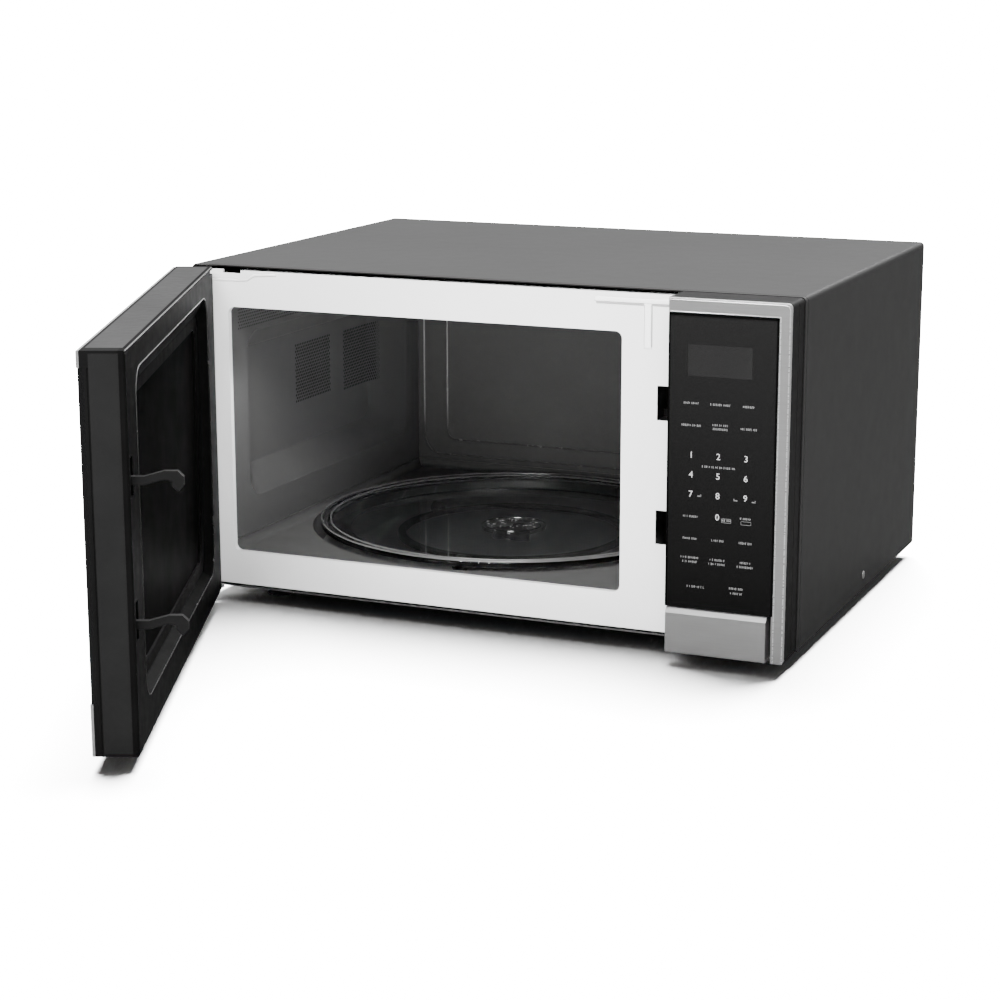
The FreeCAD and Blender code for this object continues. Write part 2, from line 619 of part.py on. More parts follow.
def make_glass_tray():
    """Glass turntable: a flat disc, a stepped slope up to a rounded rim, a hub ring."""
    piece = body("glass_tray", at=(d.tray_x, d.tray_y, 0))
    glass, base, top = d.tray_glass, d.tray_base, d.tray_top
    hub, hub_wall = d.tray_hub, d.tray_hub_wall
    step = d.tray_lip
    turn(piece, polygon([
        (0, base), (hub, base), (hub, base - d.tray_hub_depth),
        (hub + hub_wall, base - d.tray_hub_depth), (hub + hub_wall, base),
        (d.tray_flat, base), (d.tray_rim_inner, top - glass * 1.6),
        (d.tray_radius, top - glass), (d.tray_radius, top), (d.tray_radius - step, top),
        (d.tray_rim_inner, top - step), (d.tray_flat, base + glass), (0, base + glass)]))
    ease(piece, "Fillet", d.tray_lip * 0.4, {"z": top})


def make_turntable_coupler():
    """Three-lobed coupler that turns the tray, on its shaft."""
    low, high = d.coupler_low, d.coupler_low + d.coupler_height
    lobes = [rod("coupler_core", "Z", (d.tray_x, d.tray_y, low), d.coupler_core, high - low)]
    for third in range(3):
        angle = math.radians(120 * third + 90)
        offset = d.coupler_radius - d.coupler_lobe
        lobes.append(rod(
            f"coupler_lobe_{third}", "Z",
            (d.tray_x + offset * math.cos(angle), d.tray_y + offset * math.sin(angle), low),
            d.coupler_lobe, high - low))
    shaft = rod("coupler_shaft", "Z", (d.tray_x, d.tray_y, d.shaft_low + d.wheel_gap),
                d.shaft_radius, d.shaft_top - d.shaft_low)
    node(join("turntable_coupler", *lobes, shaft), "turntable_coupler")


def make_turntable_drive():
    """Flat geared motor under the floor."""
    centre = (d.tray_x, d.tray_y)
    height = d.motor_top - d.motor_low
    can = rod("motor_can", "Z", (*centre, d.motor_low), d.motor_radius, height)
    ears = block("motor_ears", d.tray_x - d.motor_ear, d.tray_x + d.motor_ear,
                 d.tray_y - d.screw_head, d.tray_y + d.screw_head,
                 d.motor_top - d.cavity_sheet, d.motor_top)
    bore = rod("motor_bore", "Z", (*centre, d.shaft_low), d.shaft_radius + d.shaft_clearance,
               d.motor_top - d.shaft_low + 1)
    node(carve("turntable_motor", join("motor_blank", can, ears), bore), "turntable_motor")


def spoke_rod(name, third, height, start, radius, length):
    """A round bar along one of the roller ring's three spokes."""
    spoke = FreeCAD.Rotation(V(0, 0, 1), 120 * third + 30)
    outward = spoke.multVec(V(1, 0, 0))
    piece = doc.addObject("Part::Cylinder", name)
    piece.Placement = FreeCAD.Placement(V(), spoke * FreeCAD.Rotation(V(0, 1, 0), 90))
    bind(piece, "Radius", radius)
    bind(piece, "Height", length)
    put(piece, CORNER, (d.tray_x + start * outward.x, d.tray_y + start * outward.y, height))
    return piece


def make_roller_ring():
    """Ring with three axle stubs, and the three wheels that carry the tray."""
    axle_z = d.well_floor + d.wheel_gap + d.wheel_radius
    half, centre = d.ring_thick / 2, (d.tray_x, d.tray_y)
    hoop = carve("ring_hoop",
                 rod("ring_outer", "Z", (*centre, axle_z - half), d.ring_radius, d.ring_thick),
                 rod("ring_inner", "Z", (*centre, axle_z - half - 1), d.ring_radius - d.ring_width,
                     d.ring_thick + 2))
    stubs = []
    wide, place = d.wheel_width, d.wheel_radius_place
    for third in range(3):
        inner = d.ring_radius - 2
        stubs.append(spoke_rod(f"ring_stub_{third}", third, axle_z, inner,
                               d.axle_radius, place + wide * 1.5 - inner))
        tyre = spoke_rod(f"wheel_tyre_{third}", third, axle_z, place, d.wheel_radius, wide)
        bore = spoke_rod(f"wheel_bore_{third}", third, axle_z, place - 1,
                         d.axle_radius + d.axle_clearance, wide + 2)
        wheel = f"roller_wheel_{third + 1}"
        node(carve(wheel, tyre, bore), wheel)
    node(join("roller_ring", hoop, *stubs), "roller_ring")


# ---- hinges ------------------------------------------------------------------------


def hinge_pin(bracket, low, high):
    """A pin that stands on a bracket's lug."""
    extrude(bracket, "XY", low, high, circle(d.hinge_x, -d.hinge_depth, d.pin_radius))


def make_hinges():
    """Two steel brackets, each with the pin that the door turns on."""
    x, y, half, thick = d.hinge_x, -d.hinge_depth, d.hinge_half_width, d.lug_sheet
    inside = d.plate_sheet + d.shell_gap
    upper = body("upper_hinge_bracket")
    top = d.upper_lug + thick
    extrude(upper, "XY", d.upper_lug, top, rectangle(x - half, y, x + half, inside + thick))
    extrude(upper, "XY", d.upper_lug, top, circle(x, y, half))
    extrude(upper, "XY", d.upper_lug - d.lug_flange_drop, top,
            rectangle(d.plate_side * 2 + d.shell_gap, inside, d.lug_flange_right, inside + thick))
    hinge_pin(upper, top - d.pin_reach, top)
    lower = body("lower_hinge_bracket")
    extrude(lower, "XY", d.lower_lug, d.lower_lug + thick,
            rectangle(x - half, y, x + half, d.plate_rim + thick))
    extrude(lower, "XY", d.lower_lug, d.lower_lug + thick, circle(x, y, half))
    extrude(lower, "XY", d.lower_lug, 0,
            rectangle(x - half, d.plate_rim, x + half, d.plate_rim + thick))
    extrude(lower, "XY", -thick, 0, rectangle(x - half, d.plate_rim, d.lug_flange_right, d.lug_tail))
    hinge_pin(lower, d.lower_lug, d.lower_lug + d.pin_reach)


# ---- door --------------------------------------------------------------------------


def hinge_notch(piece, low_y, high_y):
    """Room round the upper hinge's lug at the door's hinge corner."""
    cut(piece, "XY", d.upper_lug - d.lug_room, d.upper_lug + d.lug_sheet + d.lug_room,
        rectangle(DOOR_LEFT - 1, low_y, d.hinge_room, high_y))


def make_door_frame():
    """Moulded outer frame, open at the window, hollow behind, bored for the pins."""
    piece = body("door_frame", HINGE)
    wall, inset = d.door_wall, d.edge_inset
    front, back = DOOR_SKIN, DOOR_BACK - d.cover_lip
    left, right, low, high = DOOR_LEFT, DOOR_RIGHT, d.door_low, d.door_high
    extrude(piece, "XZ", front, back, rectangle(left, low, right, high))
    cut(piece, "XZ", front + wall + d.glass_thick, back,
        rectangle(left + wall, low + wall, right - wall, high - wall))
    cut(piece, "XZ", front, front + wall + d.glass_thick, rounded(
        d.window_left, d.window_low, d.window_right, d.window_high, d.window_corner))
    cut(piece, "XZ", front, front + d.glass_thick - d.glass_step,
        rectangle(left + d.trim_side, low + d.trim_low, right + 1, high - d.trim_top))
    cut(piece, "XZ", front + d.band_inset, back, rectangle(
        right - inset, low + d.band_inset, right + 1, high - d.trim_top))
    bore = d.pin_radius + d.pin_clearance
    boss_high = d.upper_lug - d.lug_room
    extrude(piece, "XY", boss_high - d.boss_depth, boss_high,
            rectangle(left + wall, front + wall, d.hinge_room, d.hinge_room))
    shelf = d.hook_bar_high + d.spring_length + d.spring_wire * 4
    extrude(piece, "XY", shelf, shelf + wall, rectangle(
        d.hook_bar_left, front + wall, right - wall, d.hook_bar_back + wall))
    hinge_notch(piece, -d.hinge_front_room, DOOR_BACK + 1)
    cut(piece, "XY", boss_high - d.boss_depth, boss_high, circle(0, 0, bore))
    cut(piece, "XY", low, low + wall, circle(0, 0, bore))


def make_door_glass():
    """Dark outer glass, flush inside the trim."""
    piece = body("door_outer_glass", HINGE)
    gap = d.shell_gap
    front = DOOR_SKIN - d.glass_step
    extrude(piece, "XZ", front, front + d.glass_thick, rectangle(
        DOOR_LEFT + d.trim_side + gap, d.door_low + d.trim_low + gap, DOOR_RIGHT,
        d.door_high - d.trim_top - gap))


def make_door_trim():
    """Brushed trim round the top, the hinge side and the foot of the door's front."""
    piece = body("door_trim", HINGE)
    left, right, low, high = DOOR_LEFT, DOOR_RIGHT, d.door_low, d.door_high
    extrude(piece, "XZ", DOOR_FRONT, DOOR_SKIN, polygon([
        (left, low), (right, low), (right, low + d.trim_low),
        (left + d.trim_side, low + d.trim_low), (left + d.trim_side, high - d.trim_top),
        (right, high - d.trim_top), (right, high), (left, high)]))
    ease(piece, "Fillet", d.trim_corner, {"x": left, "z": low}, {"x": left, "z": high})
    ease(piece, "Fillet", d.trim_thick * 0.3, {"y": DOOR_FRONT})


def make_door_core():
    """Folded steel panel with the choke flange, and the perforated screen on it."""
    panel = body("door_choke_panel", HINGE)
    front, sheet_depth = d.door_core, d.cavity_sheet
    left, right = d.choke_left, DOOR_RIGHT - d.choke_inset - d.hook_wide
    low, high = d.door_low + d.choke_inset, d.door_high - d.choke_inset
    extrude(panel, "XZ", front, front + d.choke_depth, rectangle(left, low, right, high))
    cut(panel, "XZ", front + sheet_depth, front + d.choke_depth, rectangle(
        left + sheet_depth, low + sheet_depth, right - sheet_depth, high - sheet_depth))
    cut(panel, "XZ", front, front + sheet_depth,
        rectangle(d.window_left, d.window_low, d.window_right, d.window_high))
    screen = body("door_screen", HINGE)
    margin = d.window_step
    place = front + sheet_depth
    extrude(screen, "XZ", place, place + d.screen_sheet, rectangle(
        d.window_left - margin, d.window_low - margin, d.window_right + margin,
        d.window_high + margin))


def make_door_choke_cover():
    """Moulded inner cover: flat rim, sloped recess, window and two hook slots."""
    piece = body("door_choke_cover", HINGE)
    back, lip = DOOR_BACK, d.cover_lip
    deep = back - d.window_step
    edge = d.door_low, d.door_high
    extrude(piece, "XZ", back - lip, back,
            rectangle(DOOR_LEFT, edge[0], DOOR_RIGHT, edge[1]))
    ease(piece, "Chamfer", d.edge_chamfer, {"x": DOOR_LEFT, "y": back},
         {"x": DOOR_RIGHT, "y": back}, {"z": edge[0], "y": back}, {"z": edge[1], "y": back})
    slope = d.recess_slope
    extrude(piece, "XZ", deep - d.cavity_sheet * 2, back - lip, rounded(
        d.recess_left - slope - d.cavity_sheet * 2, d.recess_low - d.recess_slope_low * 2,
        d.recess_right + slope + d.cavity_sheet * 2, d.recess_high + d.recess_slope_top + d.cavity_sheet * 2,
        d.recess_corner))
    sides = (d.recess_left, d.recess_low, d.recess_right, d.recess_high)
    taper(piece, "Subtractive", "XZ", (deep, rounded(*sides, d.recess_corner)),
          (back, rounded(sides[0] - slope, sides[1] - d.recess_slope_low, sides[2] + slope,
                         sides[3] + d.recess_slope_top, d.recess_corner + slope)))
    cut(piece, "XZ", deep - d.cavity_sheet * 2, deep, rounded(
        d.window_left, d.window_low, d.window_right, d.window_high, d.window_corner))
    room = d.hook_slot_room
    for middle in (d.hook_low, d.hook_high):
        cut(piece, "XZ", back - lip, back, rectangle(
            d.hook_x - room / 2, middle - d.hook_drop / 2 - room,
            d.hook_x + d.hook_wide + room / 2, middle + d.hook_drop / 2 + room * 2))
    hinge_notch(piece, back - lip - 1, back + 1)


def make_door_window():
    """Clear inner window sheet behind the cover's opening."""
    piece = body("door_inner_window", HINGE)
    back = DOOR_BACK - d.window_step - d.cavity_sheet * 2
    margin = d.window_step
    extrude(piece, "XZ", back - d.film_thick, back, rounded(
        d.window_left - margin, d.window_low - margin, d.window_right + margin,
        d.window_high + margin, d.window_corner))


def make_latch_hooks():
    """One sliding bar with two hooks, each a curved arm with a dropped tip."""
    piece = body("latch_hooks", HINGE)
    front, back, reach = d.hook_bar_front, d.hook_bar_back, d.hook_reach
    extrude(piece, "XZ", front, back, rectangle(
        d.hook_bar_left, d.hook_bar_low, d.hook_bar_right, d.hook_bar_high))
    left, right, tip = d.hook_x, d.hook_x + d.hook_wide, d.hook_tip
    for middle in (d.hook_low, d.hook_high):
        foot = middle - d.hook_arm / 2
        top = foot + d.hook_arm
        crown = top + d.hook_rise
        low = crown - d.hook_drop
        extrude(piece, "YZ", left, right, polygon([
            (front, foot), (DOOR_BACK + tip, foot), (reach - tip * 1.6, crown - d.hook_arm),
            (reach - tip, crown - d.hook_arm * 1.2), (reach - tip, low + tip / 2),
            (reach - tip / 2, low), (reach, low + tip / 2), (reach, crown - tip / 2),
            (reach - tip / 2, crown), (reach - tip * 1.6, crown), (DOOR_BACK + tip, top),
            (front, top)]))


def make_latch_spring():
    """Spring that presses the hooks down, between the sliding bar and the frame's shelf."""
    turned = math.radians(d.door_open_angle.value)
    along = (d.hook_bar_left + d.hook_bar_right) / 2
    deep = (d.hook_bar_front + d.hook_bar_back) / 2
    piece = body("latch_spring", HINGE, (
        along * math.cos(turned) + deep * math.sin(turned),
        deep * math.cos(turned) - along * math.sin(turned),
        d.hook_bar_high + d.spring_wire * 2))
    wire = add_sketch(piece, "XZ", 0, [circle(d.spring_radius, 0, d.spring_wire)])
    coil = piece.newObject("PartDesign::AdditiveHelix", "latch_spring_coil")
    coil.Profile = wire
    coil.ReferenceAxis = (wire, ["V_Axis"])
    coil.Mode = 0
    bind(coil, "Pitch", d.spring_pitch)
    bind(coil, "Height", d.spring_length)


# ---- control panel -----------------------------------------------------------------


def make_control_bezel():
    """Black housing of the controls, hollow behind, open at the foot for the button."""
    piece = body("control_bezel")
    wall = d.bezel_wall
    left, right, low, high = d.panel_left, d.panel_right, d.panel_low, d.panel_high
    front = d.trim_thick - d.front_depth
    extrude(piece, "XZ", front, 0, rectangle(left, low, right, high))
    ease(piece, "Fillet", d.trim_corner, {"x": right, "z": high}, {"x": right, "z": low})
    cut(piece, "XZ", front + wall * 2, 0,
        rectangle(left + wall, low + wall, right - wall, high - wall))
    inner = right - d.panel_trim_side
    cut(piece, "XZ", front, front + wall, rectangle(
        left - 1, d.overlay_low, inner, high - d.panel_trim_top))
    cut(piece, "XZ", front, front + wall * 2, rectangle(
        d.display_left, d.display_low, d.display_right, d.display_high))
    button_top = d.button_high + d.shell_gap * 2
    cut(piece, "XZ", front, d.shelf_front, rectangle(left - 1, low - 1, inner, button_top))
    extrude(piece, "XZ", d.shelf_front, d.shelf_front + d.shelf_thick,
            rectangle(left, low, right - wall, d.overlay_low + wall))
    cut(piece, "XZ", d.shelf_front, d.shelf_front + d.shelf_thick, rectangle(
        d.stem_left - 1, d.stem_low - 1, d.stem_right + 1, d.stem_high + 1))
    cut(piece, "XZ", -d.bezel_line - d.bezel_line_width, -d.bezel_line,
        rectangle(right - d.bezel_line_width / 2, low - 1, right + 1, high + 1))


def make_control_trim():
    """Brushed trim along the top and the right side of the controls."""
    piece = body("control_trim")
    left, right, low, high = d.panel_left, d.panel_right, d.panel_low, d.panel_high
    inner = right - d.panel_trim_side
    extrude(piece, "XZ", -d.front_depth, d.trim_thick - d.front_depth, polygon([
        (inner, low), (right, low), (right, high), (left, high),
        (left, high - d.panel_trim_top), (inner, high - d.panel_trim_top)]))
    ease(piece, "Fillet", d.trim_corner, {"x": right, "z": low}, {"x": right, "z": high})
    ease(piece, "Fillet", d.trim_thick * 0.3, {"y": -d.front_depth})


def make_control_overlay():
    """Glossy key panel with a window, and the clear lens in it."""
    left, right = d.panel_left + d.shell_gap, d.panel_right - d.panel_trim_side - d.shell_gap
    low, high = d.overlay_low + d.shell_gap, d.panel_high - d.panel_trim_top - d.shell_gap
    front = d.overlay_step - d.front_depth
    back = front + d.overlay_thick
    overlay = body("control_overlay")
    extrude(overlay, "XZ", front, back, rectangle(left, low, right, high))
    window = (d.display_left, d.display_low, d.display_right, d.display_high)
    cut(overlay, "XZ", front, back, rectangle(*window))
    lens = body("display_lens")
    gap = d.shell_gap / 2
    extrude(lens, "XZ", front + gap, back,
            rectangle(window[0] + gap, window[1] + gap, window[2] - gap, window[3] - gap))


def make_control_electronics():
    """Display module, main board and the parts soldered to it."""
    margin = d.module_margin
    node(block("display_module", d.display_left - margin, d.display_right + margin,
               d.module_front, d.module_back, d.display_low - margin, d.display_high + margin))
    back = d.board_front + d.board_thick
    board = block("board_sheet", d.board_left, d.board_right, d.board_front, back,
                  d.board_low, d.board_high)
    middle = (d.board_left + d.board_right) / 2
    relays = []
    for i in range(3):
        left = d.board_left + d.relay_side + d.relay_pitch * i
        low = d.board_low + d.relay_low
        relays.append(block(f"relay_{i}", left, left + d.relay_width, back, back + d.relay_out,
                            low, low + d.relay_height))
    left, low = middle - d.supply_left, d.board_low + d.supply_low
    supply = block("supply", left, left + d.supply_width, back, back + d.supply_out,
                   low, low + d.supply_height)
    low = d.board_low + d.chip_low
    chip = block("chip", middle - d.chip_half, middle + d.chip_half, back, back + d.chip_out,
                 low, low + d.chip_height)
    sounder = rod("sounder", "Y", (middle + d.sounder_side, back, d.board_low + d.sounder_up),
                  d.screw_head * 2, d.sounder_out)
    node(join("control_board", board, *relays, supply, chip, sounder))


def make_open_button():
    """Wide push button with a bevelled top edge and a stem to the release lever."""
    piece = body("open_button")
    left, right, low, high = d.button_left, d.button_right, d.panel_low, d.button_high
    front, wall = -d.front_depth, d.button_wall
    back = front + d.button_depth
    extrude(piece, "XZ", front, back, rectangle(left, low, right, high))
    cut(piece, "XZ", front + wall * 2, back,
        rectangle(left + wall, low + wall, right - wall, high - wall))
    ease(piece, "Chamfer", d.button_bevel, {"y": front, "z": high})
    ease(piece, "Fillet", wall * 0.3, {"y": front, "x": left}, {"y": front, "x": right},
         {"y": front, "z": low})
    extrude(piece, "XZ", front + wall, d.stem_back, rectangle(
        d.stem_left, d.stem_low, d.stem_right, d.stem_high))


# ---- latch board and switches ------------------------------------------------------


def make_latch_board():
    """Block behind the front plate with a channel for each hook and two lever ears."""
    piece = body("latch_board")
    front, back = d.latch_front, d.latch_back
    extrude(piece, "XZ", front, back, rectangle(d.latch_left, d.latch_low, d.latch_right, d.latch_high))
    half, side = d.slot_height / 2, d.channel_side
    for middle in (d.hook_low, d.hook_high):
        cut(piece, "XZ", front, back, rectangle(
            d.slot_left - side, middle - half, d.slot_right + side, middle + half))
        shelf_top = middle - d.hook_drop + d.hook_arm / 2 + d.hook_rise - side
        extrude(piece, "XZ", d.ledge_front, d.ledge_back, rectangle(
            d.slot_left - side, middle - half, d.slot_right + side, shelf_top))
    middle_low, middle_high = d.hook_low + half + d.latch_web, d.hook_high - half - d.latch_web
    wall = d.latch_wall
    cut(piece, "XZ", front + wall, back, rectangle(
        d.latch_left + wall, middle_low, d.latch_right - wall, middle_high))
    room = d.lever_axle * 2.4
    cut(piece, "YZ", d.slot_left - side, d.slot_right + side,
        rectangle(d.lever_y - room, d.latch_low, back, d.hook_low))
    cut(piece, "YZ", d.latch_left, d.latch_right,
        circle(d.lever_y, d.lever_z, d.lever_axle + d.axle_clearance))


def make_release_lever():
    """Axle with a long arm that the button pushes and a short arm under the hook."""
    y, z, thick = d.lever_y, d.lever_z, d.lever_arm_thick
    half = thick / 2
    axle = rod("lever_axle", "X", (d.latch_left - 1, y, z), d.lever_axle,
               d.lever_end - d.latch_left + 1)
    push = block("lever_push", d.lever_arm_left, d.lever_end, y - half, y + half,
                 z - d.lever_arm_drop, z + half)
    pad = block("lever_pad", d.lever_arm_left, d.lever_end, d.stem_back + d.wheel_gap, y,
                z - d.lever_arm_drop, z - d.lever_arm_drop + thick * 2)
    left, right = d.slot_left + d.lever_end_gap, d.slot_right - d.lever_end_gap
    reach = y + d.lever_lift_reach
    lift = block("lever_lift", left, right, y, reach, z - half, z + half)
    toe = block("lever_toe", left, right, reach - thick, reach, z, z + thick * 3)
    node(join("release_lever", axle, push, pad, lift, toe), "release_lever")


def make_switches():
    """Two door switches behind the latch channels, each with its own plunger."""
    front = d.hook_reach - d.hinge_depth + d.switch_gap
    left = (d.slot_left + d.slot_right) / 2 - d.switch_thick / 2
    middle_x = left + d.switch_thick / 2
    half = d.plunger_size / 2
    for name, middle in (("primary", d.hook_high), ("secondary", d.hook_low)):
        low = middle - d.switch_height / 2
        face = front + d.plunger_out
        case = block(f"{name}_case", left, left + d.switch_thick, face, face + d.switch_depth,
                     low, low + d.switch_height)
        room = half + d.plunger_room
        hole = block(f"{name}_hole", middle_x - room, middle_x + room, face - 1,
                     face + d.plunger_out * 2, middle - room, middle + room)
        node(carve(f"{name}_switch", case, hole), f"{name}_switch")
        node(block(f"{name}_plunger", middle_x - half, middle_x + half, front,
                   front + d.plunger_out * 2, middle - half, middle + half))


# ---- microwave generator and power supply ------------------------------------------


def make_waveguide():
    """Steel channel from the magnetron to the port, and the sheet over the port."""
    piece = body("waveguide")
    left = d.cavity_right + d.cavity_sheet
    right, wall = left + d.guide_depth, d.guide_sheet
    sides = (d.guide_front, d.guide_low, d.guide_back, d.guide_high)
    extrude(piece, "YZ", left, right, rectangle(*sides))
    cut(piece, "YZ", left, right - wall, rectangle(
        sides[0] + wall, sides[1] + wall, sides[2] - wall, sides[3] - wall))
    middle_y = d.tube_front + d.tube_size / 2
    middle_z = (d.tube_low + d.tube_high) / 2
    cut(piece, "YZ", right - wall, right, circle(middle_y, middle_z, d.antenna_radius + 2))
    cover = body("waveguide_cover")
    margin = d.module_margin
    extrude(cover, "YZ", d.cavity_right - d.guide_sheet, d.cavity_right, rounded(
        d.port_front - margin, d.port_low - margin, d.port_back + margin, d.port_high + margin,
        margin))


def make_magnetron():
    """Yoke with its filter box and thermal cutout; anode with its fins and antenna."""
    left, right = d.tube_left, d.tube_left + d.tube_size
    front, back, low, high = d.tube_front, d.tube_front + d.tube_size, d.tube_low, d.tube_high
    wall = d.yoke_sheet
    margin, box_side = d.fin_margin, d.filter_margin
    frame = block("yoke_blank", left, right, front, back, low, high)
    inside = block("yoke_inside", left + wall, right - wall, front - 1, back + 1,
                   low + wall, high - wall)
    middle_y, middle_z = (front + back) / 2, (low + high) / 2
    throat = rod("yoke_throat", "X", (left - 1, middle_y, middle_z), d.antenna_radius + 2, wall + 2)
    filter_box = block("filter_box", right, right + d.filter_depth, front + box_side,
                       back - box_side, low + box_side / 2, high - box_side / 2)
    cutout = rod("tube_cutout", "Z", (right - margin * 2, middle_y, high), d.cutout_radius,
                 d.cutout_height)
    node(join("magnetron_yoke", carve("yoke_frame", frame, inside, throat), filter_box, cutout),
         "magnetron_yoke")
    plates = [block(f"fin_{i}", left + margin + d.fin_pitch * i,
                    left + margin + d.fin_pitch * i + d.fin_sheet, front + margin / 2,
                    back - margin / 2, low + wall, high - wall) for i in range(9)]
    anode = rod("anode", "X", (left + wall, middle_y, middle_z), d.anode_radius,
                d.tube_size - wall * 2)
    antenna = rod("antenna", "X", (left - d.antenna_reach, middle_y, middle_z),
                  d.antenna_radius, d.antenna_reach + wall * 2)
    node(join("magnetron_anode", anode, antenna, *plates), "magnetron_anode")


def make_transformer():
    """Laminated core with two windings, standing on the base."""
    left, right = d.core_left, d.core_left + d.core_width
    front, back = d.core_front, d.core_front + d.core_depth
    low = d.cover_sheet
    blank = block("core_blank", left, right, front, back, low, low + d.core_height)
    limb, opening = d.core_limb, d.core_window / 2 + d.core_margin
    gaps = [block(f"core_gap_{i}", side, side + opening, front - 1, back + 1,
                  low + limb, low + d.core_height - limb)
            for i, side in enumerate((left + limb, right - limb - opening))]
    node(carve("transformer_core", blank, *gaps), "transformer_core")
    coils = []
    inner_left, inner_right = left + limb + opening, right - limb - opening
    gap, first = d.shell_gap, low + d.coil_foot
    for i, foot in enumerate((first, first + d.coil_height + d.coil_spacing)):
        outer = block(f"coil_outer_{i}", left + limb + gap, right - limb - gap,
                      front - d.coil_overhang, back + d.coil_overhang, foot, foot + d.coil_height)
        inner = block(f"coil_inner_{i}", inner_left - gap, inner_right + gap, front - gap,
                      back + gap, foot - 1, foot + d.coil_height + 1)
        coils.append(carve(f"coil_{i}", outer, inner))
    node(group("transformer_coils", *coils))


def make_capacitor():
    """Oval capacitor with its strap, the strap's foot and the diode on the foot."""
    low = d.cover_sheet + d.shell_gap
    half, round_part, wall = d.can_length / 2, d.can_width / 2, d.strap_sheet
    can = body("capacitor")
    extrude(can, "XY", low, low + d.can_height, rounded(
        d.can_x - half, d.can_y - round_part, d.can_x + half, d.can_y + round_part,
        round_part - 0.5))
    middle = low + d.can_height / 2
    extrude(can, "XY", middle, middle + d.strap_height, rounded(
        d.can_x - half - wall, d.can_y - round_part - wall, d.can_x + half + wall,
        d.can_y + round_part + wall, round_part - 0.5 + wall))
    reach = d.diode_radius * 4
    foot = d.can_x + half
    extrude(can, "XY", low, low + wall, rectangle(
        foot - wall, d.can_y - d.diode_radius * 2, foot + reach, d.can_y + d.diode_radius * 2))
    extrude(can, "XY", low, low + d.diode_length,
            circle(foot + reach / 2 + wall, d.can_y, d.diode_radius))


def make_fan():
    """Shroud, motor and the five-bladed fan at the back of the bay."""
    left, low = d.shroud_left, d.shroud_low
    middle_x, middle_z = left + d.shroud_size / 2, low + d.shroud_size / 2
    front, back = d.shroud_front, d.shroud_back
    shroud = body("fan_shroud")
    extrude(shroud, "XZ", front, back,
            rectangle(left, low, left + d.shroud_size, low + d.shroud_size))
    cut(shroud, "XZ", front, back, circle(middle_x, middle_z, d.shroud_hole))
    extrude(shroud, "XZ", front, front + d.bezel_wall, rectangle(
        left, middle_z - d.shroud_bar, left + d.shroud_size, middle_z + d.shroud_bar))
    cut(shroud, "XZ", front, front + d.bezel_wall,
        circle(middle_x, middle_z, d.fan_shaft_radius * 2))
    half = d.fan_motor_size / 2
    can = block("fan_motor_can", middle_x - half, middle_x + half, front - d.fan_motor_depth,
                front, middle_z - half, middle_z + half)
    bore = rod("fan_motor_bore", "Y", (middle_x, front - d.fan_motor_depth / 2, middle_z),
               d.fan_shaft_radius + d.axle_clearance, d.fan_motor_depth)
    node(carve("fan_motor", can, bore), "fan_motor")
    fan = body("fan_blade", at=(middle_x, front, middle_z))
    start, end = d.blade_start, d.blade_start + d.blade_hub
    extrude(fan, "XZ", start, end, circle(0, 0, d.blade_hub))
    extrude(fan, "XZ", -start * 2, end, circle(0, 0, d.fan_shaft_radius))
    lean, thick = d.blade_lean, d.blade_thick
    vane = extrude(fan, "YZ", d.blade_hub / 2, d.blade_radius, polygon([
        (start + 1, -lean), (start + 1 + thick, -lean), (end - 1, lean),
        (end - 1 - thick, lean)]))
    ring = fan.newObject("PartDesign::PolarPattern", "fan_blade_ring")
    ring.Originals = [vane]
    hub_sketch = next(f for f in fan.Group if f.isDerivedFrom("Sketcher::SketchObject"))
    ring.Axis = (hub_sketch, ["N_Axis"])
    ring.Angle = 360
    ring.Occurrences = int(d.fan_blades.value)
    fan.Tip = ring


def make_air_duct():
    """Duct that leads the air from the magnetron's fins to the cavity's side."""
    piece = body("air_duct")
    left, right = d.cavity_right + d.cavity_sheet + d.shell_gap, d.duct_right
    front, back, wall = d.duct_front, d.tube_front - d.shell_gap, d.duct_wall
    low, high = d.duct_low, d.duct_high
    guide = d.guide_front - d.shell_gap
    extrude(piece, "XY", low, high, polygon([
        (left, front), (right, front), (right, back), (d.tube_left, back),
        (d.tube_left, guide), (left, guide)]))
    cut(piece, "XZ", front + wall, back, rectangle(
        d.tube_left + wall, low + wall, right - wall, high - wall))
    cut(piece, "YZ", left, d.tube_left + wall, rectangle(
        front + wall, low + wall, guide - wall, high - wall))


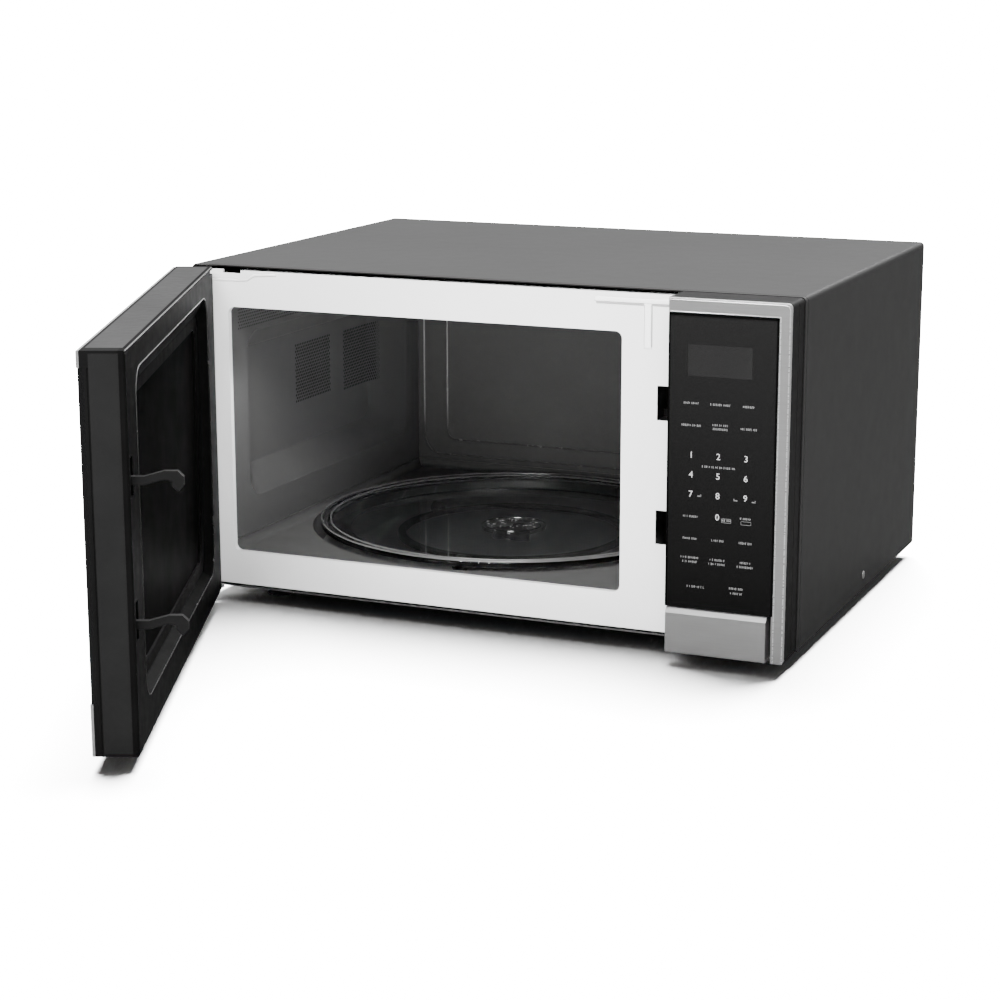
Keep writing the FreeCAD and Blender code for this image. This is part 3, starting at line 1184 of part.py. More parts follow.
def make_small_electrics():
    """Noise filter board, lamp with its holder, and the cord's gland."""
    left, front, z = d.filter_board_left, d.filter_board_front, d.filter_board_z
    board = block("filter_sheet", left, left + d.filter_board_width, front,
                  front + d.filter_board_depth, z, z + d.board_thick)
    top = z + d.board_thick
    choke = rod("filter_choke", "Z", (left + d.choke_x, front + d.choke_y, top),
                d.anode_radius * 0.7, d.choke_height)
    fuse_left, fuse_y, rest = left + d.fuse_x, front + d.fuse_y, d.fuse_rest
    fuse = rod("filter_fuse", "X", (fuse_left, fuse_y, top + d.fuse_up), d.fuse_radius,
               d.fuse_length)
    rest = block("filter_fuse_rest", fuse_left - rest / 2, fuse_left + d.fuse_length + rest / 2,
                 fuse_y - rest, fuse_y + rest, top, top + rest)
    node(join("noise_filter_board", board, choke, fuse, rest), "noise_filter_board")
    side = d.cavity_right + d.cavity_sheet
    half = d.holder_size / 2
    cup = block("lamp_cup", side, side + d.lamp_length + d.holder_end, d.lamp_y - half, d.lamp_y + half,
                d.lamp_z - half, d.lamp_z + half)
    bore = rod("lamp_bore", "X", (side - 1, d.lamp_y, d.lamp_z), d.lamp_radius + d.lamp_room,
               d.lamp_length + 1)
    bulb = rod("lamp_bulb", "X", (side + 2, d.lamp_y, d.lamp_z), d.lamp_radius, d.lamp_length)
    node(join("cavity_lamp", carve("lamp_holder", cup, bore), bulb), "cavity_lamp")
    panel_back = d.rear_place + d.rear_sheet
    barrel = rod("gland_barrel", "Y", (d.gland_x, panel_back - d.gland_length, d.gland_z),
                 d.gland_radius, d.gland_length)
    flange = rod("gland_disc", "Y", (d.gland_x, panel_back, d.gland_z), d.gland_flange,
                 d.flange_thick)
    bore = rod("gland_hole", "Y", (d.gland_x, panel_back - d.gland_length - 1, d.gland_z),
               d.gland_bore, d.gland_length + d.flange_thick * 2)
    node(carve("cord_gland", join("gland_blank", barrel, flange), bore), "cord_gland")


# ---- feet and fasteners ------------------------------------------------------------


def make_feet():
    """Four round feet, tapered towards the counter."""
    sides = {"left": d.foot_side, "right": d.case_width - d.foot_side}
    rows = {"front": d.foot_front, "rear": d.foot_back}
    for side_name, x in sides.items():
        for row_name, y in rows.items():
            foot = body(f"foot_{row_name}_{side_name}", at=(x, y, 0))
            turn(foot, polygon([
                (0, -d.foot_height), (d.foot_radius - 1, -d.foot_height),
                (d.foot_radius, 1 - d.foot_height), (d.foot_top_radius, 0), (0, 0)]))


def make_screws():
    """Cover screws on the rear and the sides, as one set."""
    back = d.rear_place + d.rear_sheet
    heads = []
    side, middle = d.rear_screw_side, d.case_width / 2
    places = [(side, d.rear_screw_high), (middle, d.middle_screw_high),
              (d.case_width - side, d.rear_screw_high), (side, d.rear_screw_low),
              (middle, d.middle_screw_low), (d.case_width - side, d.rear_screw_low)]
    for i, (x, z) in enumerate(places):
        heads.append(rod(f"rear_screw_{i}", "Y", (x, back, z), d.screw_head, d.screw_head_height))
    tall = d.screw_head_height - d.side_screw_sunk
    for name, x in (("left", -tall), ("right", d.case_width)):
        heads.append(rod(f"side_screw_{name}", "X", (x, d.side_screw_y, d.side_screw_z),
                         d.screw_head, tall))
    node(group("cover_screws", *heads))


def build():
    """Make every sub-part, check the document and write one file for each."""
    for make in (make_outer_cover, make_base_plate, make_rear_panel, make_front_plate,
                 make_cavity_floor, make_cavity_left_wall, make_cavity_right_wall,
                 make_cavity_back_wall, make_cavity_roof, make_glass_tray,
                 make_turntable_coupler, make_turntable_drive, make_roller_ring, make_hinges,
                 make_door_frame, make_door_glass, make_door_trim, make_door_core,
                 make_door_choke_cover, make_door_window, make_latch_hooks, make_latch_spring,
                 make_control_bezel, make_control_trim, make_control_overlay,
                 make_control_electronics, make_open_button,
                 make_latch_board, make_release_lever, make_switches, make_waveguide,
                 make_magnetron, make_transformer, make_capacitor, make_fan, make_air_duct,
                 make_small_electrics, make_feet, make_screws):
        make()
    doc.recompute()
    faults = [f"{thing.Label}: {thing.State}" for thing in doc.Objects
              if {"Invalid", "Error"} & set(thing.State)]
    faults += [f"{piece.Label}: bad shape" for piece in NODES
               if piece.Shape.isNull() or not piece.Shape.isValid()]
    if not faults:
        faults = [f"{pocket.Label}: cuts nothing" for pocket, base in CUTS
                  if pocket.Shape.Volume > base.Shape.Volume - 0.01]
    if faults:
        raise RuntimeError("\n".join(faults))
    os.makedirs("parts", exist_ok=True)
    for piece in NODES:
        piece.Shape.exportStep(f"parts/{piece.Label}.step")
    print(len(NODES), "sub-parts written")


build()
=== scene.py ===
import json
import math
import random

import bmesh
import bpy
from mathutils import Matrix, Vector


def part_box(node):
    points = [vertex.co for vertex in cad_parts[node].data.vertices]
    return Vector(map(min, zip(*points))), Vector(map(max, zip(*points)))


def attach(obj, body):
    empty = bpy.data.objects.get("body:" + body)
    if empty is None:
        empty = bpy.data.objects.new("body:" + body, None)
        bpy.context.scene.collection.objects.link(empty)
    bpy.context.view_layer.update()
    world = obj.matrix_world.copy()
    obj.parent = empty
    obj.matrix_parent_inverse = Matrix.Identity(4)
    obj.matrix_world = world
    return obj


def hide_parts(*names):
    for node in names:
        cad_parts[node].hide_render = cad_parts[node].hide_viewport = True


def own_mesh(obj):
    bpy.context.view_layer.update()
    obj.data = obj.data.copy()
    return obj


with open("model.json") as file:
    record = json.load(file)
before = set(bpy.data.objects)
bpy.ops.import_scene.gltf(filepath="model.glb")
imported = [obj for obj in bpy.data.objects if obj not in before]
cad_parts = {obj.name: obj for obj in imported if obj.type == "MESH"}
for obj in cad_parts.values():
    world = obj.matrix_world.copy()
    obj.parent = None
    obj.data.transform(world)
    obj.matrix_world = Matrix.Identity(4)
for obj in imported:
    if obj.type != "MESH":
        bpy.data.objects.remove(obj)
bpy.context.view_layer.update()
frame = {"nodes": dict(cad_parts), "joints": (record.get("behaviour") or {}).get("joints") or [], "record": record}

MM = 0.001
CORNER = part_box("outer_cover")[0]
JOINTS = {joint["name"]: joint for joint in frame["joints"]}
HINGE_X, HINGE_Y = JOINTS["door_hinge"]["pos_m"][:2]
DOOR_TURN = math.radians(JOINTS["door_hinge"]["range_deg"][0])
DOOR_FRAME = Matrix.Translation((HINGE_X, HINGE_Y, CORNER.z)) @ Matrix.Rotation(DOOR_TURN, 4, "Z")


def cabinet(x, y, z):
    """A point in millimetres from the cabinet's left front bottom corner."""
    return CORNER + Vector((x, y, z)) * MM


def door(x, y, z):
    """A point of the open door, in millimetres from the hinge axis, drawn closed."""
    return DOOR_FRAME @ (Vector((x, y, z)) * MM)


# ---- camera, light and floor -------------------------------------------------------


FOCAL_LENGTH, SENSOR_WIDTH, VIEW_REACH = 83.73, 36, 200
CAMERA_PLACE = (0.76797, -1.93213, 0.55629)
HEADING, TILT, ROLL = 0.40588, -0.22736, -0.00152
ROOM_LIGHT, ROOM_WHITE = 0.12, 40
FLOOR_REACH = 90


def make_camera():
    """Camera in front, to the right and a little above, as in the reference view."""
    data = bpy.data.cameras.new("view")
    data.lens = FOCAL_LENGTH
    data.sensor_width = SENSOR_WIDTH
    data.clip_end = VIEW_REACH
    camera = bpy.data.objects.new("view", data)
    bpy.context.scene.collection.objects.link(camera)
    turn = Matrix.Rotation(HEADING, 4, "Z") @ Matrix.Rotation(math.pi / 2 + TILT, 4, "X")
    turn = turn @ Matrix.Rotation(ROLL, 4, "Z")
    camera.matrix_world = Matrix.Translation(CAMERA_PLACE) @ turn
    bpy.context.scene.camera = camera


def area_light(name, place, target, size, power):
    """A soft square light that faces a point."""
    data = bpy.data.lights.new(name, "AREA")
    data.shape = "RECTANGLE"
    data.size, data.size_y = size
    data.energy = power
    light = bpy.data.objects.new(name, data)
    light.location = place
    light.rotation_euler = (Vector(target) - Vector(place)).to_track_quat("-Z", "Y").to_euler()
    bpy.context.scene.collection.objects.link(light)
    return light


def sun(name, source, power, angle):
    """A distant soft light that comes from a direction and isn't mirrored."""
    data = bpy.data.lights.new(name, "SUN")
    data.energy = power
    data.angle = math.radians(angle)
    light = bpy.data.objects.new(name, data)
    light.rotation_euler = Vector(source).to_track_quat("Z", "Y").to_euler()
    light.visible_glossy = False
    bpy.context.scene.collection.objects.link(light)


def floor_plane(name, height, tone, seen_by):
    """A wide flat sheet of matt paper that only some kinds of ray meet."""
    mesh = bpy.data.meshes.new(name)
    far = FLOOR_REACH
    corners = [(-far, -far, height), (far, -far, height), (far, far, height), (-far, far, height)]
    mesh.from_pydata(corners, [], [(0, 1, 2, 3)])
    mat = bpy.data.materials.new(name)
    mat.use_nodes = True
    paper = mat.node_tree.nodes["Principled BSDF"]
    paper.inputs["Base Color"].default_value = (tone, tone, tone, 1)
    paper.inputs["Roughness"].default_value = 1
    paper.inputs["Specular IOR Level"].default_value = 0
    mesh.materials.append(mat)
    floor = bpy.data.objects.new(name, mesh)
    bpy.context.scene.collection.objects.link(floor)
    for kind in ("camera", "diffuse", "glossy", "transmission", "shadow"):
        setattr(floor, f"visible_{kind}", kind in seen_by)
    return floor


def keep_off(lights, floors):
    """The fill lights leave the paper alone, so that its shadow stays soft and clean."""
    group = bpy.data.collections.new("paper")
    for floor in floors:
        group.objects.link(floor)
    for link in group.collection_objects:
        link.light_linking.link_state = "EXCLUDE"
    for light in lights:
        light.light_linking.receiver_collection = group


def make_studio():
    """Soft light from above and in front, a white floor, and a surround that only looks white."""
    sun("sky_panel", (-0.12, 0.46, 1), 92, 45)
    fills = [
        area_light("front_high", (0.2, -2.1, 2.1), (0, -0.1, 0.12), (1.9, 1.0), 225),
        area_light("front_low", (0.35, -3.4, 0.55), (0, -0.1, 0.12), (1.6, 0.7), 55),
        area_light("side", (2.6, -1.2, 1.4), (0.1, 0, 0.15), (1.2, 1.2), 2.5),
        area_light("rear", (0.8, 3.0, 2.8), (0, 0.2, 0.15), (1.2, 1.2), 60),
    ]
    fills[1].visible_glossy = False
    lamp = area_light("oven_lamp", cabinet(260, 150, 110), cabinet(60, 190, 250), (0.12, 0.12), 0.2)
    spill = area_light("opening", cabinet(95, 8, 150), cabinet(20, 24, 70), (0.06, 0.12), 0.065)
    for light in (lamp, spill):
        light.visible_glossy = False
        light.visible_camera = False
    world = bpy.data.worlds.new("surround")
    world.use_nodes = True
    background = world.node_tree.nodes["Background"]
    background.inputs["Color"].default_value = (1, 1, 1, 1)
    rays = world.node_tree.nodes.new("ShaderNodeLightPath")
    strength = world.node_tree.nodes.new("ShaderNodeMapRange")
    strength.inputs["To Min"].default_value = ROOM_LIGHT
    strength.inputs["To Max"].default_value = ROOM_WHITE
    world.node_tree.links.new(rays.outputs["Is Camera Ray"], strength.inputs["Value"])
    world.node_tree.links.new(strength.outputs["Result"], background.inputs["Strength"])
    bpy.context.scene.world = world
    papers = [
        floor_plane("floor", 0.0, 0.92, ("camera", "transmission")),
        floor_plane("floor_bounce", -0.0005, 0.24, ("diffuse",)),
        floor_plane("floor_gloss", -0.001, 0.014, ("glossy",)),
    ]
    keep_off(fills, papers)


# ---- materials ---------------------------------------------------------------------


def grey(value):
    """A neutral colour."""
    return (value, value, value, 1)


class Finish:
    """One procedural material, built round a Principled shader."""

    def __init__(self, name, **sockets):
        self.mat = bpy.data.materials.new(name)
        self.mat.use_nodes = True
        self.tree = self.mat.node_tree
        self.shader = self.tree.nodes["Principled BSDF"]
        self.height = None
        for socket, value in sockets.items():
            self.shader.inputs[socket.replace("_", " ")].default_value = value

    def add(self, kind, **values):
        made = self.tree.nodes.new(kind)
        for key, value in values.items():
            setattr(made, key, value)
        return made

    def link(self, source, target):
        self.tree.links.new(source, target)

    def coordinates(self, stretch=(1, 1, 1), turn=0.0, origin=(0, 0, 0)):
        """Object coordinates in metres, moved, turned about Z and stretched."""
        place = self.add("ShaderNodeTexCoord")
        first = self.add("ShaderNodeMapping", vector_type="POINT")
        first.inputs["Location"].default_value = [-v for v in origin]
        second = self.add("ShaderNodeMapping", vector_type="POINT")
        second.inputs["Rotation"].default_value = (0, 0, turn)
        second.inputs["Scale"].default_value = stretch
        self.link(place.outputs["Object"], first.inputs["Vector"])
        self.link(first.outputs["Vector"], second.inputs["Vector"])
        return second.outputs["Vector"]

    def noise(self, scale, detail=4.0, rough=0.55, stretch=(1, 1, 1), turn=0.0):
        """Noise with a feature size of about 1 / scale metres."""
        made = self.add("ShaderNodeTexNoise")
        made.inputs["Scale"].default_value = scale
        made.inputs["Detail"].default_value = detail
        made.inputs["Roughness"].default_value = rough
        self.link(self.coordinates(stretch, turn), made.inputs["Vector"])
        return made.outputs["Fac"]

    def spread(self, source, low, high, start=0.3, end=0.7):
        """Maps a pattern to a range."""
        made = self.add("ShaderNodeMapRange")
        for key, value in (("From Min", start), ("From Max", end), ("To Min", low), ("To Max", high)):
            made.inputs[key].default_value = value
        self.link(source, made.inputs["Value"])
        return made.outputs["Result"]

    def tones(self, source, first, second, start=0.3, end=0.7):
        """Colours the surface between two tones along a pattern."""
        ramp = self.add("ShaderNodeValToRGB")
        ramp.color_ramp.elements[0].position = start
        ramp.color_ramp.elements[1].position = end
        ramp.color_ramp.elements[0].color = first
        ramp.color_ramp.elements[1].color = second
        self.link(source, ramp.inputs["Fac"])
        self.link(ramp.outputs["Color"], self.shader.inputs["Base Color"])
        return self

    def roughness(self, source, low, high):
        """Lets the gloss vary along a pattern."""
        self.link(self.spread(source, low, high), self.shader.inputs["Roughness"])
        return self

    def bump(self, source, depth, strength=1.0):
        """Raises the surface along a pattern, to a depth in metres."""
        made = self.add("ShaderNodeBump")
        made.inputs["Distance"].default_value = depth
        made.inputs["Strength"].default_value = strength
        if self.height is not None:
            self.link(self.height, made.inputs["Normal"])
        self.link(source, made.inputs["Height"])
        self.link(made.outputs["Normal"], self.shader.inputs["Normal"])
        self.height = made.outputs["Normal"]
        return self


def cover_coat():
    """Dark grey powder coat with a fine orange-peel grain."""
    f = Finish("cover_coat", Specular_IOR_Level=0.2)
    cloud = f.noise(9, 3)
    f.tones(cloud, grey(0.0086), grey(0.009))
    f.roughness(f.noise(60, 4), 0.43, 0.45)
    return f.bump(f.noise(800, 2), 0.00004, 0.1).mat


def white_enamel():
    """White gloss enamel on pressed steel."""
    f = Finish("white_enamel", Specular_IOR_Level=0.4)
    f.tones(f.noise(14, 3), grey(0.8), grey(0.84))
    f.roughness(f.noise(40, 3), 0.3, 0.34)
    return f.bump(f.noise(420, 3), 0.00005, 0.35).mat


def cavity_enamel():
    """Grey speckled enamel."""
    f = Finish("cavity_enamel", Specular_IOR_Level=0.4)
    f.tones(f.noise(1500, 2, 0.7), grey(0.072), grey(0.08), 0.35, 0.65)
    f.roughness(f.noise(40, 3), 0.3, 0.34)
    return f.bump(f.noise(500, 3), 0.00005, 0.3).mat


def zinc_steel():
    """Galvanised sheet with its crystal spangle."""
    f = Finish("zinc_steel", Metallic=1.0)
    cells = f.add("ShaderNodeTexVoronoi")
    cells.inputs["Scale"].default_value = 170
    f.link(f.coordinates(), cells.inputs["Vector"])
    f.tones(cells.outputs["Color"], grey(0.4), grey(0.47), 0.1, 0.9)
    return f.roughness(f.noise(150, 3), 0.36, 0.55).mat


def brushed(name, tone, stretch, turn=0.0, rough=0.3):
    """Brushed silver with hairlines along one direction."""
    f = Finish(name, Metallic=0.85)
    lines = f.noise(900, 4, 0.65, stretch, turn)
    f.tones(lines, grey(tone * 0.9), grey(tone), 0.3, 0.7)
    f.link(f.spread(lines, rough, rough + 0.12), f.shader.inputs["Roughness"])
    return f.bump(lines, 0.00003, 0.35).mat


def moulded(name, low, high, rough=(0.42, 0.48), grain=900, depth=0.00005, level=0.25):
    """Moulded plastic with a fine leathery grain."""
    f = Finish(name, Specular_IOR_Level=level)
    f.tones(f.noise(25, 3), grey(low), grey(high))
    f.roughness(f.noise(120, 3), *rough)
    return f.bump(f.noise(grain, 3), depth, 0.5).mat


def gloss_panel(name, tone, level=0.3):
    """Polished black face with the faintest unevenness."""
    f = Finish(name, Specular_IOR_Level=level)
    f.tones(f.noise(6, 2), grey(tone * 0.8), grey(tone * 1.2))
    f.roughness(f.noise(30, 3), 0.05, 0.1)
    return f.bump(f.noise(70, 2), 0.00005, 0.05).mat


def key_panel_painted_reflection():
    """Smoked key panel with a painted reflection: its tone is lighter towards its top."""
    f = Finish("key_panel_painted_reflection", Specular_IOR_Level=0.3)
    parts = f.add("ShaderNodeSeparateXYZ")
    f.link(f.coordinates(), parts.inputs[0])
    # painted reflection: the tone rises from dark at the panel's foot to lighter at its top
    f.tones(f.spread(parts.outputs["Z"], 0, 1, 0.06, 0.29), grey(0.001), grey(0.0058), 0, 1)
    f.roughness(f.noise(30, 3), 0.06, 0.1)
    return f.bump(f.noise(70, 2), 0.00005, 0.05).mat


def shaded_by_height(name, low, high, start, end, rough=(0.22, 0.28), level=0.6):
    """Smooth gloss with painted shade: its tone turns from one value to another between two heights in metres."""
    f = Finish(name, Specular_IOR_Level=level)
    parts = f.add("ShaderNodeSeparateXYZ")
    f.link(f.coordinates(), parts.inputs[0])
    # painted shade and highlight: darker below the start height, lighter above the end height
    f.tones(f.spread(parts.outputs["Z"], 0, 1, start, end), grey(low), grey(high), 0, 1)
    f.roughness(f.noise(120, 3), *rough)
    return f.bump(f.noise(900, 3), 0.00005, 0.3).mat


def clear_glass(name, tone, rough):
    """Clear sheet or pressed glass with slight waviness."""
    f = Finish(name, Transmission_Weight=1.0, IOR=1.5)
    f.tones(f.noise(10, 2), grey(tone * 0.97), grey(tone))
    f.roughness(f.noise(20, 2), rough, rough + 0.02)
    return f.bump(f.noise(45, 2), 0.00008, 0.08).mat


def door_plastic(name, low, high, level=0.05):
    """Matt textured black plastic of the door's inner side."""
    f = Finish(name, Specular_IOR_Level=level)
    f.tones(f.noise(30, 3), grey(low), grey(high))
    f.roughness(f.noise(90, 3), 0.5, 0.56)
    return f.bump(f.noise(1100, 3), 0.00005, 0.3).mat


def film_sheet():
    """Thin smoked film over the window's inner side."""
    f = Finish("film_sheet", Specular_IOR_Level=0.004, Alpha=0.95)
    f.tones(f.noise(8, 2), grey(0.0012), grey(0.0016))
    f.roughness(f.noise(24, 3), 0.42, 0.48)
    return f.bump(f.noise(30, 2), 0.0001, 0.05).mat


def punched(name, hole, metal, pitch, turn, size=0.32):
    """Sheet with rows of small round holes, drawn as dark dots a pitch apart."""
    f = Finish(name, Specular_IOR_Level=0.25)
    scaled = f.coordinates((1 / pitch,) * 3, turn)
    parts = f.add("ShaderNodeSeparateXYZ")
    f.link(scaled, parts.inputs[0])
    squares = []
    for axis in ("X", "Z"):
        ping = f.add("ShaderNodeMath", operation="PINGPONG")
        ping.inputs[1].default_value = 0.5
        f.link(parts.outputs[axis], ping.inputs[0])
        square = f.add("ShaderNodeMath", operation="POWER")
        square.inputs[1].default_value = 2
        f.link(ping.outputs[0], square.inputs[0])
        squares.append(square)
    total = f.add("ShaderNodeMath", operation="ADD")
    f.link(squares[0].outputs[0], total.inputs[0])
    f.link(squares[1].outputs[0], total.inputs[1])
    f.tones(total.outputs[0], grey(hole), grey(metal), size * size * 0.85, size * size * 1.15)
    return f.roughness(f.noise(100, 3), 0.4, 0.5).mat


def speckled(name, low, high, scale, rough=(0.4, 0.6), metal=0.0):
    """Plain inner material with a mottled tone."""
    f = Finish(name, Metallic=metal)
    f.tones(f.noise(scale, 3), low, high)
    return f.roughness(f.noise(scale * 2, 3), *rough).mat


def windings(name):
    """Enamelled copper wire wound in layers."""
    f = Finish(name, Metallic=0.9)
    lines = f.noise(700, 2, 0.5, (0.1, 0.1, 1))
    f.tones(lines, (0.28, 0.09, 0.035, 1), (0.5, 0.2, 0.09, 1))
    f.roughness(f.noise(90, 2), 0.3, 0.45)
    return f.bump(lines, 0.0003, 0.6).mat


def laminations(name):
    """Stacked core sheets under varnish."""
    f = Finish(name, Metallic=0.6)
    lines = f.noise(1400, 1, 0.4, (1, 0.02, 0.02))
    f.tones(lines, (0.05, 0.042, 0.036, 1), (0.11, 0.09, 0.075, 1))
    f.roughness(f.noise(80, 3), 0.45, 0.6)
    return f.bump(lines, 0.0002, 0.5).mat


def printed_ink(name, tone):
    """Pale print on the key panel."""
    f = Finish(name, Specular_IOR_Level=0.1)
    f.tones(f.noise(1200, 3), grey(tone * 0.85), grey(tone))
    return f.roughness(f.noise(300, 2), 0.5, 0.65).mat


def make_materials():
    """Every finish by name: those of the record's slots, then those of the added details."""
    return {
        "cover_paint": cover_coat(),
        "plate_paint": white_enamel(),
        "cavity_enamel": cavity_enamel(),
        "zinc_steel": zinc_steel(),
        "dark_steel": moulded("dark_steel", 0.008, 0.012, (0.35, 0.45)),
        "trim_silver": brushed("trim_silver", 0.42, (0.03, 1, 1)),
        "button_silver": brushed("button_silver", 0.4, (0.03, 1, 1), 0.0, 0.36),
        "black_plastic": moulded("black_plastic", 0.004, 0.0052),
        "black_glass": gloss_panel("black_glass", 0.002),
        "clear_glass": clear_glass("clear_glass", 0.92, 0.01),
        "film": film_sheet(),
        "display_glass": gloss_panel("display_glass", 0.0085, 0.4),
        "panel_gloss": key_panel_painted_reflection(),
        "grey_plastic": moulded("grey_plastic", 0.022, 0.03, (0.3, 0.4)),
        "white_plastic": moulded("white_plastic", 0.5, 0.58, (0.35, 0.45)),
        "board_green": speckled("board_green", (0.012, 0.06, 0.025, 1), (0.02, 0.11, 0.04, 1), 240),
        "lacquered_core": laminations("lacquered_core"),
        "copper_coil": windings("copper_coil"),
        "aluminium_can": brushed("aluminium_can", 0.6, (1, 1, 0.03)),
        "mica": speckled("mica", grey(0.3), grey(0.42), 300),
        "rubber": moulded("rubber", 0.012, 0.018, (0.6, 0.75), 600, 0.00008),
        "screw_steel": speckled("screw_steel", grey(0.28), grey(0.42), 900, (0.3, 0.45), 0.9),
        "ink": printed_ink("figure_ink", 0.3),
        "faint_ink": printed_ink("label_ink", 0.1),
        "hole": moulded("hole_dark", 0.016, 0.024, (0.7, 0.8)),
        # painted highlight: a lighter enamel than the cavity, lighter still higher up, for the back wall's beads
        "painted_highlight_enamel": shaded_by_height("painted_highlight_enamel", 0.085, 0.3, 0.085, 0.12),
        # painted highlight: the door's beads turn lighter towards the top
        "painted_highlight_edge": shaded_by_height("painted_highlight_edge", 0.006, 0.03, 0.2, 0.27),
        # painted highlight: the T ridge is whiter than the plate it is pressed from
        "ridge_painted_highlight": moulded("ridge_painted_highlight", 0.94, 0.97, (0.3, 0.34), level=0.4),
        # painted shade: grey lines under the T ridge's bar and beside its stem
        "painted_shade_line": moulded("painted_shade_enamel", 0.3, 0.36, (0.4, 0.46), level=0.3),
        # painted highlight: a lighter silver for the trim's rolled edges
        "painted_highlight_silver": brushed("painted_highlight_silver", 0.8, (0.03, 1, 1), 0.0, 0.24),
        # painted highlight: grey rings standing for the light on the clear tray's rim
        "rim_painted_highlight": moulded("rim_painted_highlight", 0.1, 0.13, (0.1, 0.14), level=0.6),
        # painted shade: near-black strips laid where the key panel's gaps fall in shade
        "gap": door_plastic("gap_dark", 0.0008, 0.0012, 0.02),
        "top_grey": moulded("top_grey_plastic", 0.0078, 0.0092, level=0.2),
        "edge_grey": door_plastic("edge_grey_plastic", 0.0052, 0.0062, 0.1),
        "frosted": moulded("frosted_glass", 0.2, 0.3, (0.3, 0.4)),
    }


def paint_nodes(finishes):
    """Gives every CAD node the finish of its slot, or one of its own."""
    slots = {part["node"]: part["material_slot"] for part in frame["record"]["subparts"]}
    own = {
        "door_screen": punched("door_screen_punched", 0.001, 0.02, 0.0024, -DOOR_TURN),
        "door_choke_cover": door_plastic("door_cover_plastic", 0.0016, 0.0022, 0.035),
        "door_frame": door_plastic("door_frame_plastic", 0.0022, 0.0028, 0.06),
        "latch_hooks": door_plastic("hook_plastic", 0.0028, 0.0038, 0.12),
        "roller_ring": door_plastic("ring_plastic", 0.012, 0.016, 0.06),
        "turntable_coupler": door_plastic("coupler_plastic", 0.022, 0.028, 0.03),
        "control_bezel": door_plastic("bezel_plastic", 0.0035, 0.0045, 0.12),
    }
    for name, thing in frame["nodes"].items():
        finish = own.get(name, finishes[slots[name]])
        if not thing.material_slots:
            thing.data.materials.append(finish)
        for place in thing.material_slots:
            place.material = finish


# ---- mesh helpers ------------------------------------------------------------------


def piece(name, mesh, finish, body):
    """Adds a finished mesh as a piece that rides on a body."""
    thing = bpy.data.objects.new(name, mesh)
    bpy.context.scene.collection.objects.link(thing)
    mesh.materials.append(finish)
    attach(thing, body)
    return thing


def to_mesh(name, bm, smooth=False):
    """Turns a bmesh into a mesh."""
    mesh = bpy.data.meshes.new(name)
    bmesh.ops.recalc_face_normals(bm, faces=bm.faces)
    bm.to_mesh(mesh)
    bm.free()
    for face in mesh.polygons:
        face.use_smooth = smooth
    return mesh


def slab(bm, place, left, low, right, high, back, front):
    """A thin box between two corners; place turns (x, y, z) into a point."""
    corners = [(x, y, z) for y in (back, front) for z in (low, high) for x in (left, right)]
    v = [bm.verts.new(place(*corner)) for corner in corners]
    for a, b, c, e in ((0, 1, 3, 2), (4, 6, 7, 5), (0, 4, 5, 1), (2, 3, 7, 6), (0, 2, 6, 4), (1, 5, 7, 3)):
        bm.faces.new((v[a], v[b], v[c], v[e]))


def join_rings(bm, outer, inner):
    """A band of faces between two rings with the same number of points."""
    count = len(outer)
    for i in range(count):
        j = (i + 1) % count
        bm.faces.new((outer[i], outer[j], inner[j], inner[i]))


# ---- details -----------------------------------------------------------------------


OVERLAY_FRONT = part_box("control_overlay")[0].y
KEY_COLUMNS = (471.2, 493.7, 516.5)
FIGURE_SIZE, FIGURE_BOLD, PRINT = 7.2, 0.04, 0.06
TICK_PROUD = 0.05
DOOR_EDGE = 441.2
TRIM_FACE = -35.05
GAP_BACK, GAP_FRONT = -35.32, -35.0
PANEL_LOW, PANEL_HIGH, PANEL_RIGHT = 37.2, 275.6, 541.4
BEAD_STEPS, RING_STEPS, SCREW_STEPS, HOLE_STEPS = 6, 120, 32, 8
SIDE_SCREW = (210, 13)
SHARP_ANGLE = 30
SOFT_EDGES = {"control_bezel": 0.5, "door_frame": 0.5, "control_overlay": 0.25,
              "control_trim": 1.1, "open_button": 0.4, "door_trim": 0.5,
              "door_choke_cover": 0.4, "latch_hooks": 0.6, "cavity_floor": 0.3}


def panel_point(x, y, z):
    """A point on the key panel: x and z from the cabinet's corner, y out of the panel."""
    point = cabinet(x, 0, z)
    return Vector((point.x, OVERLAY_FRONT - y * MM, point.z))


def make_digits(finishes):
    """The ten figures of the key pad, as raised print."""
    rows = {162.4: "123", 146.5: "456", 130.7: "789", 113.4: " 0 "}
    bm = bmesh.new()
    for height, figures in rows.items():
        for column, figure in zip(KEY_COLUMNS, figures):
            if figure != " ":
                add_figure(bm, figure, column, height)
    piece("panel_figures", to_mesh("panel_figures", bm), finishes["ink"], "cabinet")


def add_figure(bm, figure, x, z):
    """Adds one figure, centred on a point of the key panel."""
    curve = bpy.data.curves.new("figure", "FONT")
    curve.body = figure
    curve.size = FIGURE_SIZE * MM
    curve.offset = FIGURE_BOLD * MM
    curve.extrude = PRINT * MM / 2
    curve.resolution_u = 4
    curve.align_x, curve.align_y = "CENTER", "CENTER"
    thing = bpy.data.objects.new("figure", curve)
    bpy.context.scene.collection.objects.link(thing)
    bpy.context.view_layer.update()
    mesh = bpy.data.meshes.new_from_object(thing.evaluated_get(bpy.context.evaluated_depsgraph_get()))
    start = panel_point(x, PRINT / 2, z)
    mesh.transform(Matrix.Translation(start) @ Matrix.Rotation(math.pi / 2, 4, "X"))
    bm.from_mesh(mesh)
    bpy.data.objects.remove(thing)
    bpy.data.curves.remove(curve)
    bpy.data.meshes.remove(mesh)


